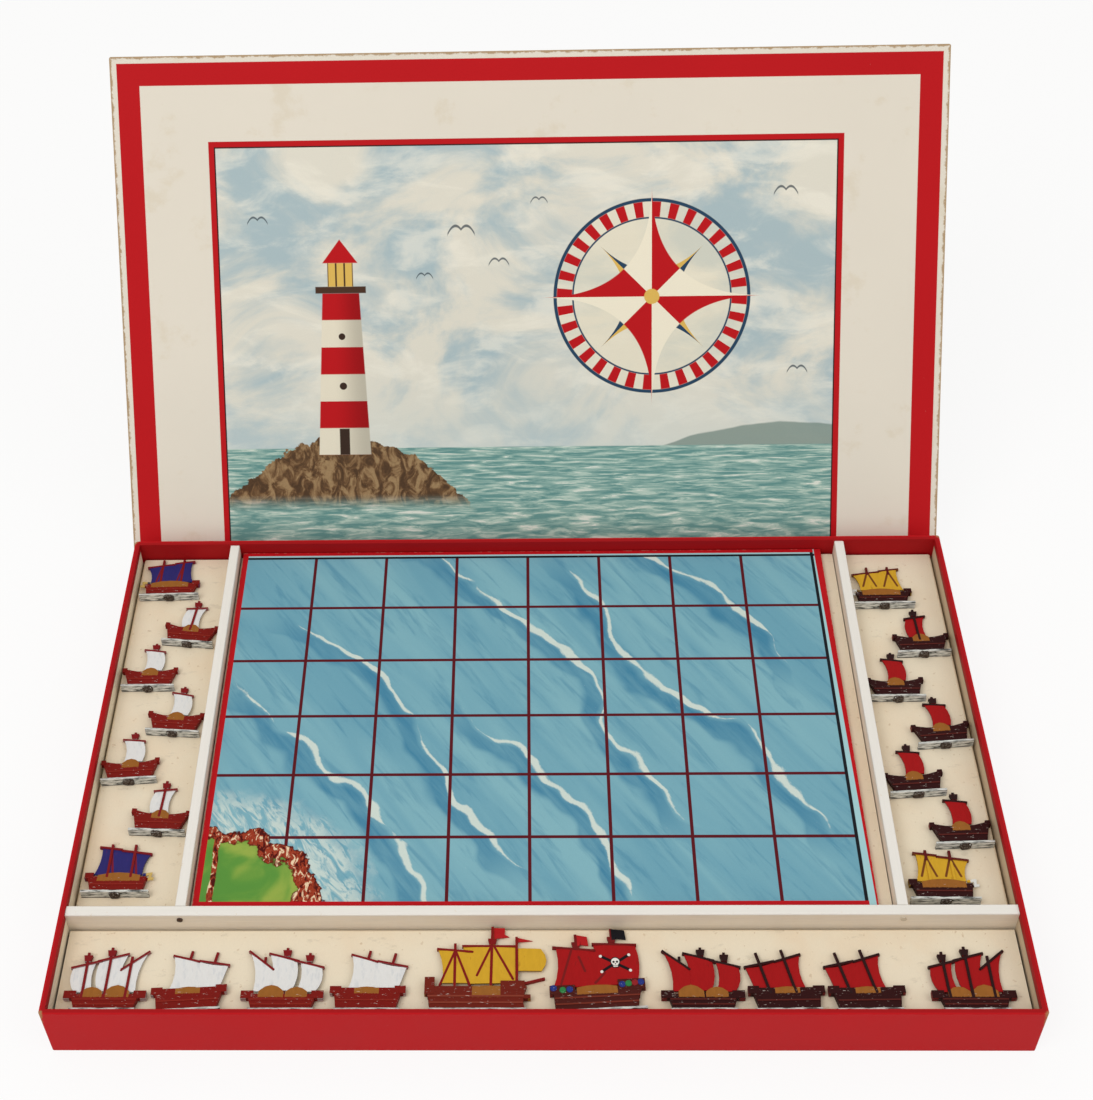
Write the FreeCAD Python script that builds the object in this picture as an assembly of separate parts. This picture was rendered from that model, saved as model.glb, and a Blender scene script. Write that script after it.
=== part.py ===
import FreeCAD, Part
import math
import os

V = FreeCAD.Vector

# Tray of greyboard under red paper
TRAY_W = 480.0
TRAY_D = 302.0
TRAY_H = 36.0
GREYBOARD = 2.2
PAPER = 0.3
TURN_IN = 24.0
CORNER_R = 1.2
WALL = GREYBOARD + 2 * PAPER
INNER_W = TRAY_W - 2 * WALL
INNER_D = TRAY_D - 2 * WALL

# Lid, leaning behind the tray with its face to the front
LID_CLEAR = 0.5
LID_EDGE = GREYBOARD + PAPER + LID_CLEAR
LID_W = TRAY_W + 2 * LID_EDGE
LID_D = TRAY_D + 2 * LID_EDGE
LID_H = 20.0
LID_LEAN = 32.7
LID_SHIFT = -1.4
LID_GAP = 0.4
FLOOR_GAP = 0.3

# White wooden partitions
WOOD = 5.4
WOOD_DROP = 1.0
WOOD_ROUND = 0.6
WOOD_FIT = 0.1

# Bays between the partitions and the tray's walls
LEFT_BAY = 54.8
RIGHT_BAY = 53.8
STAND_GAP = 3.0
HEAD_ROOM = 1.2

# Wire nails through the front partition
NAIL_R = 0.8
NAIL_HEAD_R = 1.5
NAIL_HEAD = 0.7
NAIL_LENGTH = 18.0
NAIL_DROP = 4.0
NAIL_FIT = 0.05

# Folded cards
CARD = 1.0
FOLD_R = 1.6
CARD_GAP = 1.2
RECESS = 12.5
PLATFORM_DROP = 10.4

# Chart board, and the room that it leaves round it in the well
CHART_ROOM_LEFT = 1.9
CHART_ROOM_RIGHT = 7.9
CHART_ROOM_FRONT = 1.6
CHART_ROOM_BACK = 0.8
CHART_CORE = 2.4
CHART_SEAT = 0.3
BAND_LEFT = 3.2
BAND_RIGHT = 4.0
BAND_FRONT = 4.3
BAND_BACK = 2.4

# Half thicknesses of the cast relief, front face first where the faces differ
STAND_T = 1.2
STAND_HALF = 2.6
GATE_W = 4.6
GATE_HALF = 2.0
GATE_T = 0.8
HULL_HALF = 1.4
CASTLE_HALF = 1.5
WALE_HALF = 1.65
DECK_HALF = 1.15
TOP_HALF = 1.0
SAIL_FRONT = 0.45
SAIL_BACK = 0.2
SAIL_BELLY = 0.4
MAST_FRONT = 0.3
MAST_BACK = 0.8
PROUD_FRONT = 0.95
FLAG_HALF = 0.25
SPAR_W = 1.3
YARD_W = 1.1
ROPE_W = 1.0
TOP_FOOT_W = 2.8
TOP_RIM_W = 4.4
TOP_H = 3.4
SHIP_GAP = 0.3
SHIP_CLEAR = 0.4
BOW_CHORDS = 4

# Ship shapes. Corners are x, height above the stand, and the bow of the edge that follows
COG = {
    "stand": 30.0,
    "hull": [(-11.0, 0.0, 0.0), (11.6, 0.0, 0.0), (15.0, 12.4, 2.4), (-15.4, 12.0, 0.0)],
    "castles": [(13.0, 10.4, 15.6, 13.0), (-16.0, 10.0, -13.4, 12.6)],
    "wales": [(-12.6, 4.6, 12.8, 5.3)],
    "decks": [(-4.6, 4.6, 7.4, 10.6, 2.6)],
    "sails": [[(-3.8, 11.6, 0.0), (6.0, 11.6, -1.3), (5.6, 24.6, 0.0), (-5.0, 26.2, 1.3)]],
    "yards": [(-6.0, 26.8, 6.6, 25.0)],
    "masts": [(0.6, 9.0, 0.4, 31.8)],
    "tops": [(0.4, 26.8)],
    "ropes": [],
    "flags": [],
    "proud": False,
}
TRADER = {
    "stand": 35.0,
    "hull": [(-13.6, 0.0, 0.0), (13.0, 0.0, 0.0), (15.8, 9.4, 1.0), (-15.0, 8.8, 0.0)],
    "castles": [(12.6, 7.6, 17.0, 11.0)],
    "wales": [(-14.0, 3.8, 13.8, 4.5)],
    "decks": [(-11.6, 10.4, 6.2, 9.8, 1.6)],
    "sails": [
        [(-12.2, 10.6, 0.0), (0.6, 10.6, 0.0), (0.4, 24.6, 0.0), (-14.8, 22.4, 1.0)],
        [(0.4, 10.6, 0.0), (12.6, 10.6, 1.0), (10.8, 26.6, 0.0), (0.2, 25.2, 0.0)],
    ],
    "yards": [(-15.6, 22.8, 0.2, 25.0), (0.2, 25.6, 12.4, 27.2)],
    "masts": [(-6.6, 9.0, -6.4, 28.6), (5.6, 9.0, 5.8, 28.8)],
    "tops": [],
    "ropes": [],
    "flags": [
        [(-18.4, 7.6, 0.0), (-13.4, 7.0, 0.0), (-13.4, 8.4, 0.0), (-18.4, 9.0, 0.0)],
        [(-17.4, 10.6, 0.0), (-12.6, 9.8, 0.0), (-12.6, 11.2, 0.0), (-17.4, 12.0, 0.0)],
        [(-17.2, 7.6, 0.0), (-15.8, 7.6, 0.0), (-15.8, 11.8, 0.0), (-17.2, 11.8, 0.0)],
    ],
    "proud": True,
}
CARAVEL = {
    "stand": 32.0,
    "hull": [(-15.2, 0.0, 0.0), (13.6, 0.0, 0.0), (16.8, 11.4, 0.0), (-16.8, 11.4, 0.0)],
    "castles": [(-18.6, 8.4, -13.0, 12.2), (13.0, 8.4, 18.4, 12.4)],
    "wales": [(-15.6, 4.4, 14.4, 5.1)],
    "decks": [(-6.6, 5.4, 8.4, 11.2, 0.9)],
    "sails": [
        [(-10.0, 11.0, 0.0), (3.6, 11.0, 0.0), (3.8, 25.6, 0.0), (-8.8, 29.2, 1.6)],
        [(3.4, 11.0, 0.0), (14.6, 11.0, 0.0), (18.2, 22.8, 0.8), (3.6, 25.8, 0.0)],
    ],
    "yards": [(-9.4, 29.8, 3.8, 25.8), (3.8, 26.2, 19.0, 23.0)],
    "masts": [(-4.8, 9.0, 0.0, 32.2), (7.6, 9.0, 12.6, 30.8)],
    "tops": [],
    "ropes": [],
    "flags": [],
    "proud": False,
}
CARRACK = {
    "stand": 32.0,
    "hull": [(-14.6, 0.0, 0.0), (14.2, 0.0, 0.0), (16.8, 8.0, 0.0), (-17.0, 8.0, 0.0)],
    "castles": [(-20.2, 5.8, -14.0, 9.8), (14.2, 5.8, 20.2, 9.8)],
    "wales": [(-15.2, 2.2, 14.8, 2.9), (-16.0, 4.8, 15.4, 5.5)],
    "decks": [(-11.8, 0.6, 6.4, 9.6, 3.4), (1.4, 12.2, 6.4, 9.4, 2.6)],
    "sails": [
        [(-14.4, 9.8, 0.0), (-4.8, 9.8, 0.0), (-5.2, 21.4, 0.0), (-17.6, 30.6, 1.6)],
        [(-6.0, 10.2, 0.0), (4.3, 10.2, -1.4), (5.8, 25.6, 0.0), (-7.8, 29.8, 1.4)],
        [(6.6, 9.6, 0.0), (15.8, 9.6, -1.6), (18.4, 22.2, 0.0), (7.6, 25.2, 1.4)],
    ],
    "yards": [(-18.6, 31.8, -5.6, 21.6), (-8.6, 30.4, 6.8, 26.2), (4.8, 26.4, 19.4, 22.6)],
    "masts": [(-10.0, 6.4, -10.2, 28.8), (0.4, 6.4, 0.4, 33.8), (11.4, 6.4, 11.8, 31.0)],
    "tops": [(0.4, 28.8), (11.8, 26.0)],
    "ropes": [],
    "flags": [],
    "proud": False,
}
GREAT_YELLOW = {
    "stand": 47.0,
    "hull": [(-23.2, 0.0, 0.0), (22.8, 0.0, 1.2), (23.8, 12.2, 0.0), (-25.0, 12.2, 0.0)],
    "castles": [(-26.0, 8.0, -21.2, 17.0), (11.0, 10.0, 22.8, 15.0), (21.4, 5.6, 25.6, 7.6)],
    "wales": [(-23.8, 3.0, 22.0, 3.8), (-24.4, 6.4, 22.4, 7.2)],
    "decks": [(-2.8, 11.0, 6.4, 12.0, 0.6)],
    "sails": [
        [(-17.6, 14.2, 0.0), (-4.2, 14.2, 0.0), (-4.4, 30.6, 0.0), (-19.8, 32.0, 1.2)],
        [(-4.8, 13.8, 0.0), (18.8, 14.2, 0.0), (18.8, 33.4, 0.0), (-7.6, 33.6, 0.8)],
        [(18.6, 20.8, 0.0), (31.0, 20.6, -2.6), (30.8, 32.6, 0.0), (18.6, 33.0, 0.0)],
    ],
    "yards": [(-20.6, 32.6, -3.0, 31.0), (-8.2, 34.2, 18.6, 34.0)],
    "masts": [(-11.4, 10.4, -11.6, 35.6), (6.2, 10.4, 6.8, 44.9), (19.0, 10.4, 18.8, 39.2)],
    "tops": [(6.8, 34.8)],
    "ropes": [
        (-11.6, 31.4, -18.8, 12.8), (-11.2, 31.4, -4.0, 12.8), (6.0, 33.4, -0.6, 18.2), (8.0, 33.4, 17.0, 16.4),
        (22.0, 13.8, 32.6, 16.6),
    ],
    "flags": [
        [(6.8, 38.4, 0.0), (15.2, 39.4, 0.0), (13.0, 40.8, 0.0), (13.0, 44.4, 0.0), (6.8, 44.6, 0.0)],
        [(18.8, 36.6, 0.0), (26.8, 37.2, 0.0), (18.8, 39.2, 0.0)],
    ],
    "proud": True,
}
GREAT_RED = {
    "stand": 45.0,
    "hull": [(-21.6, 0.0, 0.0), (18.4, 0.0, 0.8), (21.6, 11.8, 1.6), (-22.2, 11.0, 0.0)],
    "castles": [(-24.0, 8.8, -11.6, 13.4), (9.4, 10.0, 22.6, 15.2)],
    "wales": [(-21.6, 3.0, 18.8, 3.8), (-21.8, 6.2, 19.6, 7.0)],
    "decks": [(-10.8, 9.0, 8.2, 12.0, 1.0)],
    "sails": [
        [(-22.0, 12.6, 0.0), (0.6, 12.6, 0.0), (0.2, 31.6, 0.0), (-19.4, 34.0, 1.6)],
        [(0.2, 12.6, 0.0), (18.8, 13.0, -1.6), (19.8, 33.2, 0.0), (-0.8, 35.0, 0.0)],
    ],
    "yards": [(-21.2, 34.6, -0.4, 31.8), (-1.6, 35.4, 20.4, 33.8)],
    "masts": [(-9.4, 9.6, -9.4, 41.4), (8.4, 9.6, 8.4, 43.6)],
    "tops": [(-9.4, 33.4), (8.4, 35.4)],
    "ropes": [],
    "flags": [
        [(-9.4, 36.0, 0.0), (-3.2, 34.8, 0.0), (-3.6, 39.8, 0.0), (-9.4, 41.2, 0.0)],
        [(7.8, 38.6, 0.0), (15.6, 37.2, 0.0), (15.2, 42.4, 0.0), (7.8, 43.6, 0.0)],
    ],
    "proud": False,
}

# Places that follow from the bays and the ships
def mast_head(shape):
    return STAND_T + max(mast[3] for mast in shape["masts"])


FRONT_BAY = STAND_GAP + mast_head(GREAT_YELLOW) + HEAD_ROOM
LEFT_X = LEFT_BAY + (WOOD - INNER_W) / 2
RIGHT_X = (INNER_W - WOOD) / 2 - RIGHT_BAY
FRONT_Y = FRONT_BAY + (WOOD - INNER_D) / 2

UP = 1
DOWN = -1

# Ships of a side bay from the front: node, shape, room before it, share of the free width to its left,
# turn in degrees, and the face that lies up
LEFT_ROW = [
    ("blue_trader_2", TRADER, 10.4, 0.19, 0.0, DOWN),
    ("white_cog_5", COG, 5.0, 0.96, -2.3, DOWN),
    ("white_cog_4", COG, 2.1, 0.03, 3.2, UP),
    ("white_cog_3", COG, 1.0, 0.93, -4.0, UP),
    ("white_cog_2", COG, 1.0, 0.10, 0.0, UP),
    ("white_cog_1", COG, 1.0, 0.95, -5.6, DOWN),
    ("blue_trader_1", TRADER, 1.0, 0.13, 1.2, UP),
]
LEFT_BACK_ROOM = 2.9
RIGHT_ROW = [
    ("yellow_trader_2", TRADER, 5.6, 0.19, -0.5, DOWN),
    ("red_cog_5", COG, 1.0, 0.90, 1.6, UP),
    ("red_cog_4", COG, 1.0, 0.03, 3.6, UP),
    ("red_cog_3", COG, 1.0, 0.93, 4.4, UP),
    ("red_cog_2", COG, 1.0, 0.03, 0.0, UP),
    ("red_cog_1", COG, 1.0, 0.90, 2.0, DOWN),
    ("yellow_trader_1", TRADER, 1.5, 0.03, 0.3, UP),
]
RIGHT_BACK_ROOM = 12.8

# Ships of the front bay from the left: node, shape, room before it, turn in degrees, and the face that lies up
FRONT_ROW = [
    ("white_carrack_1", CARRACK, 5.2, 0.0, DOWN),
    ("white_caravel_1", CARAVEL, 2.1, 3.0, UP),
    ("white_carrack_2", CARRACK, 7.1, 0.0, UP),
    ("white_caravel_2", CARAVEL, 2.9, 0.0, UP),
    ("yellow_flagship", GREAT_YELLOW, 8.4, 0.0, UP),
    ("red_flagship", GREAT_RED, 1.2, 3.0, UP),
    ("red_carrack_1", CARRACK, 6.8, 0.0, UP),
    ("red_caravel_1", CARAVEL, 0.7, 0.8, DOWN),
    ("red_caravel_2", CARAVEL, 0.7, 0.8, DOWN),
    ("red_carrack_2", CARRACK, 12.2, 0.0, DOWN),
]
FRONT_RIGHT_ROOM = 8.1


def block(x0, x1, y0, y1, z0, z1):
    return Part.makeBox(x1 - x0, y1 - y0, z1 - z0, V(x0, y0, z0))


def edges_along(solid, way):
    found = []
    for edge in solid.Edges:
        tangent = edge.tangentAt(edge.FirstParameter)
        if abs(tangent.dot(way)) > tangent.cross(way).Length:
            found.append(edge)
    return found


def top_edges(solid, way, above):
    return [edge for edge in edges_along(solid, way) if edge.CenterOfMass.z > above]


def long_way(x0, x1, y0, y1):
    return V(1, 0, 0) if x1 - x0 > y1 - y0 else V(0, 1, 0)


def centred_box(width, depth, z0, z1, radius=0.0):
    box = block(-width / 2, width / 2, -depth / 2, depth / 2, z0, z1)
    if radius > 0:
        box = box.makeFillet(radius, edges_along(box, V(0, 0, 1)))
    return box


# Tray boards and paper, the walls butted with the long ones across the ends

def box_walls(width, depth, z0, z1, names):
    half_w = width / 2
    half_d = depth / 2
    rounded = centred_box(width, depth, z0, z1, CORNER_R - PAPER)
    front = block(-half_w, half_w, -half_d, GREYBOARD - half_d, z0, z1).common(rounded)
    back = block(-half_w, half_w, half_d - GREYBOARD, half_d, z0, z1).common(rounded)
    left = block(-half_w, GREYBOARD - half_w, GREYBOARD - half_d, half_d - GREYBOARD, z0, z1)
    right = block(half_w - GREYBOARD, half_w, GREYBOARD - half_d, half_d - GREYBOARD, z0, z1)
    return dict(zip(names, (front, back, left, right)))


def tray_boards():
    width = TRAY_W - 2 * PAPER
    depth = TRAY_D - 2 * PAPER
    names = ("tray_front_wall", "tray_back_wall", "tray_left_wall", "tray_right_wall")
    boards = box_walls(width, depth, 0.0, TRAY_H - PAPER, names)
    boards["tray_floor"] = centred_box(width - 2 * GREYBOARD, depth - 2 * GREYBOARD, 0.0, GREYBOARD)
    return boards


def tray_wrap():
    step = PAPER + GREYBOARD
    hollow = centred_box(INNER_W, INNER_D, -PAPER, TRAY_H + PAPER)
    outside = centred_box(TRAY_W, TRAY_D, 0.0, TRAY_H, CORNER_R)
    boards = centred_box(TRAY_W - 2 * PAPER, TRAY_D - 2 * PAPER, 0.0, TRAY_H - PAPER, CORNER_R - PAPER)
    lining = centred_box(TRAY_W - 2 * step, TRAY_D - 2 * step, TRAY_H - TURN_IN, TRAY_H - PAPER)
    return outside.cut(boards).fuse(lining).cut(hollow).removeSplitter()


# Wooden partitions and their nails

def wood_strip(x0, x1, y0, y1):
    top = TRAY_H - WOOD_DROP
    strip = block(x0, x1, y0, y1, GREYBOARD, top)
    return strip.makeFillet(WOOD_ROUND, top_edges(strip, long_way(x0, x1, y0, y1), top - WOOD_ROUND))


def nail_place(x):
    return V(x, FRONT_Y - WOOD / 2, TRAY_H - WOOD_DROP - NAIL_DROP)


def nail_hole(x):
    return Part.makeCylinder(NAIL_R + NAIL_FIT, NAIL_LENGTH + NAIL_FIT, nail_place(x), V(0, 1, 0))


def nail(x):
    shank = Part.makeCylinder(NAIL_R, NAIL_LENGTH, nail_place(x), V(0, 1, 0))
    head = Part.makeCylinder(NAIL_HEAD_R, NAIL_HEAD, nail_place(x) - V(0, NAIL_HEAD, 0), V(0, 1, 0))
    return shank.fuse(head).removeSplitter()


def partitions():
    front = wood_strip(WOOD_FIT - INNER_W / 2, INNER_W / 2 - WOOD_FIT, FRONT_Y - WOOD / 2, FRONT_Y + WOOD / 2)
    strips = {}
    for name, x in (("left_partition", LEFT_X), ("right_partition", RIGHT_X)):
        strip = wood_strip(x - WOOD / 2, x + WOOD / 2, FRONT_Y + WOOD / 2, INNER_D / 2 - WOOD_FIT)
        strips[name] = strip.cut(nail_hole(x))
        front = front.cut(nail_hole(x))
    strips["front_partition"] = front
    strips["partition_nails"] = Part.makeCompound([nail(LEFT_X), nail(RIGHT_X)])
    return strips


# Folded cards: a top with a leg turned down along each long side

def folded_card(x0, x1, y0, y1, top):
    way = long_way(x0, x1, y0, y1)
    in_x = CARD * abs(way.y)
    in_y = CARD * abs(way.x)
    outer = block(x0, x1, y0, y1, GREYBOARD, top)
    inner = block(x0 + in_x, x1 - in_x, y0 + in_y, y1 - in_y, GREYBOARD, top - CARD)
    outer = outer.makeFillet(FOLD_R, top_edges(outer, way, top - CARD))
    inner = inner.makeFillet(FOLD_R - CARD, top_edges(inner, way, top - 2 * CARD))
    return outer.cut(inner)


def inlays():
    side = INNER_W / 2 - CARD_GAP
    back = INNER_D / 2 - CARD_GAP
    behind = FRONT_Y + WOOD / 2 + CARD_GAP
    before = FRONT_Y - WOOD / 2 - CARD_GAP
    left = LEFT_X - WOOD / 2 - CARD_GAP
    right = RIGHT_X + WOOD / 2 + CARD_GAP
    deck = TRAY_H - RECESS
    cards = {
        "left_inlay": folded_card(-side, left, behind, back, deck),
        "right_inlay": folded_card(right, side, behind, back, deck),
        "front_inlay": folded_card(-side, side, -back, before, deck),
    }
    well_left = LEFT_X + WOOD / 2 + CARD_GAP / 2
    well_right = RIGHT_X - WOOD / 2 - CARD_GAP / 2
    cards["board_platform"] = folded_card(well_left, well_right, behind, back, TRAY_H - PLATFORM_DROP)
    return cards


# Chart board with its edging paper and printed sheet

def chart():
    low = TRAY_H - PLATFORM_DROP + CHART_SEAT
    mid = low + CHART_CORE
    high = mid + PAPER
    edge = [
        LEFT_X + WOOD / 2 + CHART_ROOM_LEFT,
        RIGHT_X - WOOD / 2 - CHART_ROOM_RIGHT,
        FRONT_Y + WOOD / 2 + CHART_ROOM_FRONT,
        INNER_D / 2 - CHART_ROOM_BACK,
    ]
    core_box = [edge[0] + PAPER, edge[1] - PAPER, edge[2] + PAPER, edge[3] - PAPER]
    sheet = [edge[0] + BAND_LEFT, edge[1] - BAND_RIGHT, edge[2] + BAND_FRONT, edge[3] - BAND_BACK]
    core = block(*core_box, low, mid)
    printed = block(*sheet, mid, high)
    binding = block(*edge, low, high).cut(core).cut(printed)
    return {"board_core": core, "board_print": printed, "board_binding": binding}


# Lid, built face up about its own centre and then leaned back

def lean_lid(shape):
    lean = math.radians(LID_LEAN)
    lifted = FLOOR_GAP + LID_H * math.sin(lean)
    foot = TRAY_D / 2 + LID_GAP
    placed = shape.copy()
    placed.translate(V(LID_SHIFT, LID_D / 2, -LID_H))
    placed.rotate(V(0, 0, 0), V(1, 0, 0), 90.0 - LID_LEAN)
    placed.translate(V(0, foot, lifted))
    return placed


def lid_boards():
    width = LID_W - 2 * PAPER
    depth = LID_D - 2 * PAPER
    names = ("lid_front_wall", "lid_back_wall", "lid_left_wall", "lid_right_wall")
    boards = box_walls(width, depth, 0.0, LID_H - PAPER - GREYBOARD, names)
    top = centred_box(width, depth, LID_H - PAPER - GREYBOARD, LID_H - PAPER, CORNER_R - PAPER)
    boards["lid_top"] = top
    return boards


def lid_papers():
    outside = centred_box(LID_W, LID_D, 0.0, LID_H - PAPER, CORNER_R)
    boards = centred_box(LID_W - 2 * PAPER, LID_D - 2 * PAPER, 0.0, LID_H - PAPER, CORNER_R - PAPER)
    sheet = centred_box(LID_W, LID_D, LID_H - PAPER, LID_H, CORNER_R)
    return {"lid_wrap": outside.cut(boards), "lid_print": sheet}


# Cast ships, drawn upright on their stands with the front face towards +Z

def bowed(start, end, bow):
    # A bowed edge runs in short chords, and a straight one is a single chord
    steps = BOW_CHORDS if bow else 1
    side = V(start.y - end.y, end.x - start.x, 0).normalize()
    run = [i / steps for i in range(steps)]
    return [start + (end - start) * t + side * (4 * bow * t * (1 - t)) for t in run]


def outline(corners):
    points = []
    for i, (x, y, bow) in enumerate(corners):
        following = corners[(i + 1) % len(corners)]
        start = V(x, y + STAND_T, 0)
        end = V(following[0], following[1] + STAND_T, 0)
        points += bowed(start, end, bow)
    return Part.Face(Part.makePolygon(points + points[:1]))


def slab(corners, back, front):
    face = outline(corners)
    face.translate(V(0, 0, -back))
    return face.extrude(V(0, 0, back + front))


def spar(line, width, back, front):
    x0, y0, x1, y1 = line
    along = V(x1 - x0, y1 - y0, 0).normalize()
    side = V(-along.y, along.x, 0) * (width / 2)
    corners = [
        (x0 - side.x, y0 - side.y, 0.0),
        (x1 - side.x, y1 - side.y, 0.0),
        (x1 + side.x, y1 + side.y, 0.0),
        (x0 + side.x, y0 + side.y, 0.0),
    ]
    return slab(corners, back, front)


def oblong(box, half):
    x0, y0, x1, y1 = box
    return slab([(x0, y0, 0.0), (x1, y0, 0.0), (x1, y1, 0.0), (x0, y1, 0.0)], half, half)


def sail(corners):
    # The cloth is thickest in its middle half and thins towards its two upright edges
    cloth = slab(corners, SAIL_BACK, SAIL_FRONT + SAIL_BELLY)
    box = cloth.BoundBox
    quarter = box.XLength / 4
    full = SAIL_FRONT + SAIL_BELLY
    section = [
        V(box.XMin, box.YMin, -SAIL_BACK),
        V(box.XMax, box.YMin, -SAIL_BACK),
        V(box.XMax, box.YMin, SAIL_FRONT),
        V(box.XMax - quarter, box.YMin, full),
        V(box.XMin + quarter, box.YMin, full),
        V(box.XMin, box.YMin, SAIL_FRONT),
    ]
    wind = Part.Face(Part.makePolygon(section + section[:1])).extrude(V(0, box.YLength, 0))
    return cloth.common(wind)


def deck(mound):
    x0, x1, foot, side, crown = mound
    return slab([(x0, foot, 0.0), (x1, foot, 0.0), (x1, side, -crown), (x0, side, 0.0)], DECK_HALF, DECK_HALF)


def mast_top(x, y):
    foot = TOP_FOOT_W / 2
    rim = TOP_RIM_W / 2
    corners = [(x - foot, y, 0.0), (x + foot, y, 0.0), (x + rim, y + TOP_H, 0.0), (x - rim, y + TOP_H, 0.0)]
    return slab(corners, TOP_HALF, TOP_HALF)


def stand(length):
    plate = block(-length / 2, length / 2, 0.0, STAND_T, -STAND_HALF, STAND_HALF)
    gate = block(-GATE_W / 2, GATE_W / 2, -GATE_T, STAND_T, -GATE_HALF, GATE_HALF)
    return plate.fuse(gate)


def casting(shape):
    front = PROUD_FRONT if shape["proud"] else MAST_FRONT
    pieces = [slab(shape["hull"], HULL_HALF, HULL_HALF), stand(shape["stand"])]
    pieces += [oblong(box, CASTLE_HALF) for box in shape["castles"]]
    pieces += [oblong(box, WALE_HALF) for box in shape["wales"]]
    pieces += [deck(mound) for mound in shape["decks"]]
    pieces += [sail(corners) for corners in shape["sails"]]
    pieces += [spar(line, YARD_W, MAST_BACK, PROUD_FRONT) for line in shape["yards"]]
    pieces += [spar(line, SPAR_W, MAST_BACK, front) for line in shape["masts"]]
    pieces += [spar(line, ROPE_W, MAST_BACK, PROUD_FRONT) for line in shape["ropes"]]
    pieces += [mast_top(x, y) for x, y in shape["tops"]]
    pieces += [slab(corners, FLAG_HALF, FLAG_HALF) for corners in shape["flags"]]
    return pieces[0].multiFuse(pieces[1:]).removeSplitter()


def lay_down(shape, turn, face):
    # The ship rests on one edge of its stand and on its mast head
    tilt = math.atan2(STAND_HALF - TOP_HALF, mast_head(shape))
    rise = SHIP_GAP + STAND_HALF * math.cos(tilt) + STAND_T * math.sin(tilt)
    laid = casting(shape)
    if face == DOWN:
        laid.rotate(V(0, 0, 0), V(0, 1, 0), 180.0)
    laid.rotate(V(0, 0, 0), V(1, 0, 0), -math.degrees(tilt))
    laid.rotate(V(0, 0, 0), V(0, 0, 1), turn)
    laid.translate(V(0, 0, TRAY_H - RECESS + rise))
    return laid


def free_masthead(shape):
    # The length of mast above the highest yard, which can lie beside the stand of the next ship
    highest = max(max(yard[1], yard[3]) for yard in shape["yards"])
    return mast_head(shape) - STAND_T - highest - YARD_W / 2 - SHIP_CLEAR


def passes(ship, x, following, x_following):
    head = x - mast_head(ship[1]) * math.sin(math.radians(ship[4]))
    reach = (following[1]["stand"] + TOP_RIM_W) / 2 + SHIP_CLEAR
    return abs(head - x_following) > reach


def side_bay(row, back_room, left, right):
    # Ships one behind the other, the free room shared out in the proportion of the rooms in the row
    laid = [lay_down(shape, turn, face) for name, shape, room, share, turn, face in row]
    boxes = [solid.BoundBox for solid in laid]
    xs = [left - box.XMin + ship[3] * (right - left - box.XLength) for ship, box in zip(row, boxes)]
    lengths = [box.YLength for box in boxes]
    for i in range(len(row) - 1):
        if passes(row[i], xs[i], row[i + 1], xs[i + 1]):
            lengths[i] -= free_masthead(row[i][1])
    front = FRONT_Y + WOOD / 2
    free = INNER_D / 2 - front - sum(lengths)
    spread = free / (sum(ship[2] for ship in row) + back_room)
    y = front
    for ship, solid, box, x, length in zip(row, laid, boxes, xs, lengths):
        y += ship[2] * spread
        solid.translate(V(x, y - box.YMin, 0))
        y += length
    return {ship[0]: solid for ship, solid in zip(row, laid)}


def front_bay(row, right_room):
    # Ships side by side with their stands in line
    laid = [lay_down(shape, turn, face) for name, shape, room, turn, face in row]
    boxes = [solid.BoundBox for solid in laid]
    free = INNER_W - sum(box.XLength for box in boxes)
    spread = free / (sum(ship[2] for ship in row) + right_room)
    x = -INNER_W / 2
    for ship, solid, box in zip(row, laid, boxes):
        x += ship[2] * spread
        solid.translate(V(x - box.XMin, STAND_GAP - INNER_D / 2, 0))
        x += box.XLength
    return {ship[0]: solid for ship, solid in zip(row, laid)}


def ships():
    side = INNER_W / 2
    laid = side_bay(LEFT_ROW, LEFT_BACK_ROOM, -side, LEFT_X - WOOD / 2)
    laid.update(side_bay(RIGHT_ROW, RIGHT_BACK_ROOM, RIGHT_X + WOOD / 2, side))
    laid.update(front_bay(FRONT_ROW, FRONT_RIGHT_ROOM))
    return laid


def main():
    os.makedirs("parts", exist_ok=True)
    nodes = tray_boards()
    nodes["tray_wrap"] = tray_wrap()
    nodes.update(partitions())
    nodes.update(inlays())
    nodes.update(chart())
    for name, shape in {**lid_boards(), **lid_papers()}.items():
        nodes[name] = lean_lid(shape)
    nodes.update(ships())
    for name, shape in nodes.items():
        shape.exportStep("parts/" + name + ".step")


main()
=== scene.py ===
"""Finishes, small cast details and stage of the fleet guessing case."""

import math

import bpy
import numpy as np
from bpy.props import FloatProperty, FloatVectorProperty, PointerProperty
from mathutils import Matrix, Vector


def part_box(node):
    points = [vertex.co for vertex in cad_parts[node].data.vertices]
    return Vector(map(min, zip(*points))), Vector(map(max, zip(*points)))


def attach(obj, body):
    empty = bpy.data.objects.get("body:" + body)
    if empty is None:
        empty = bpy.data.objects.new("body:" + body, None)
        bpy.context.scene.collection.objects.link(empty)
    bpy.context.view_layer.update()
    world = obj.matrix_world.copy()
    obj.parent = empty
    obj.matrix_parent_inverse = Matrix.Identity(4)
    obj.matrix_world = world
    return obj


bl_info = {
    "name": "Fleet guessing case",
    "version": (1, 0, 0),
    "blender": (4, 5, 0),
    "location": "3D View > Sidebar > Fleet case",
    "description": "Papers, paints and small cast details of a boxed fleet guessing game",
    "category": "Object",
}

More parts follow.
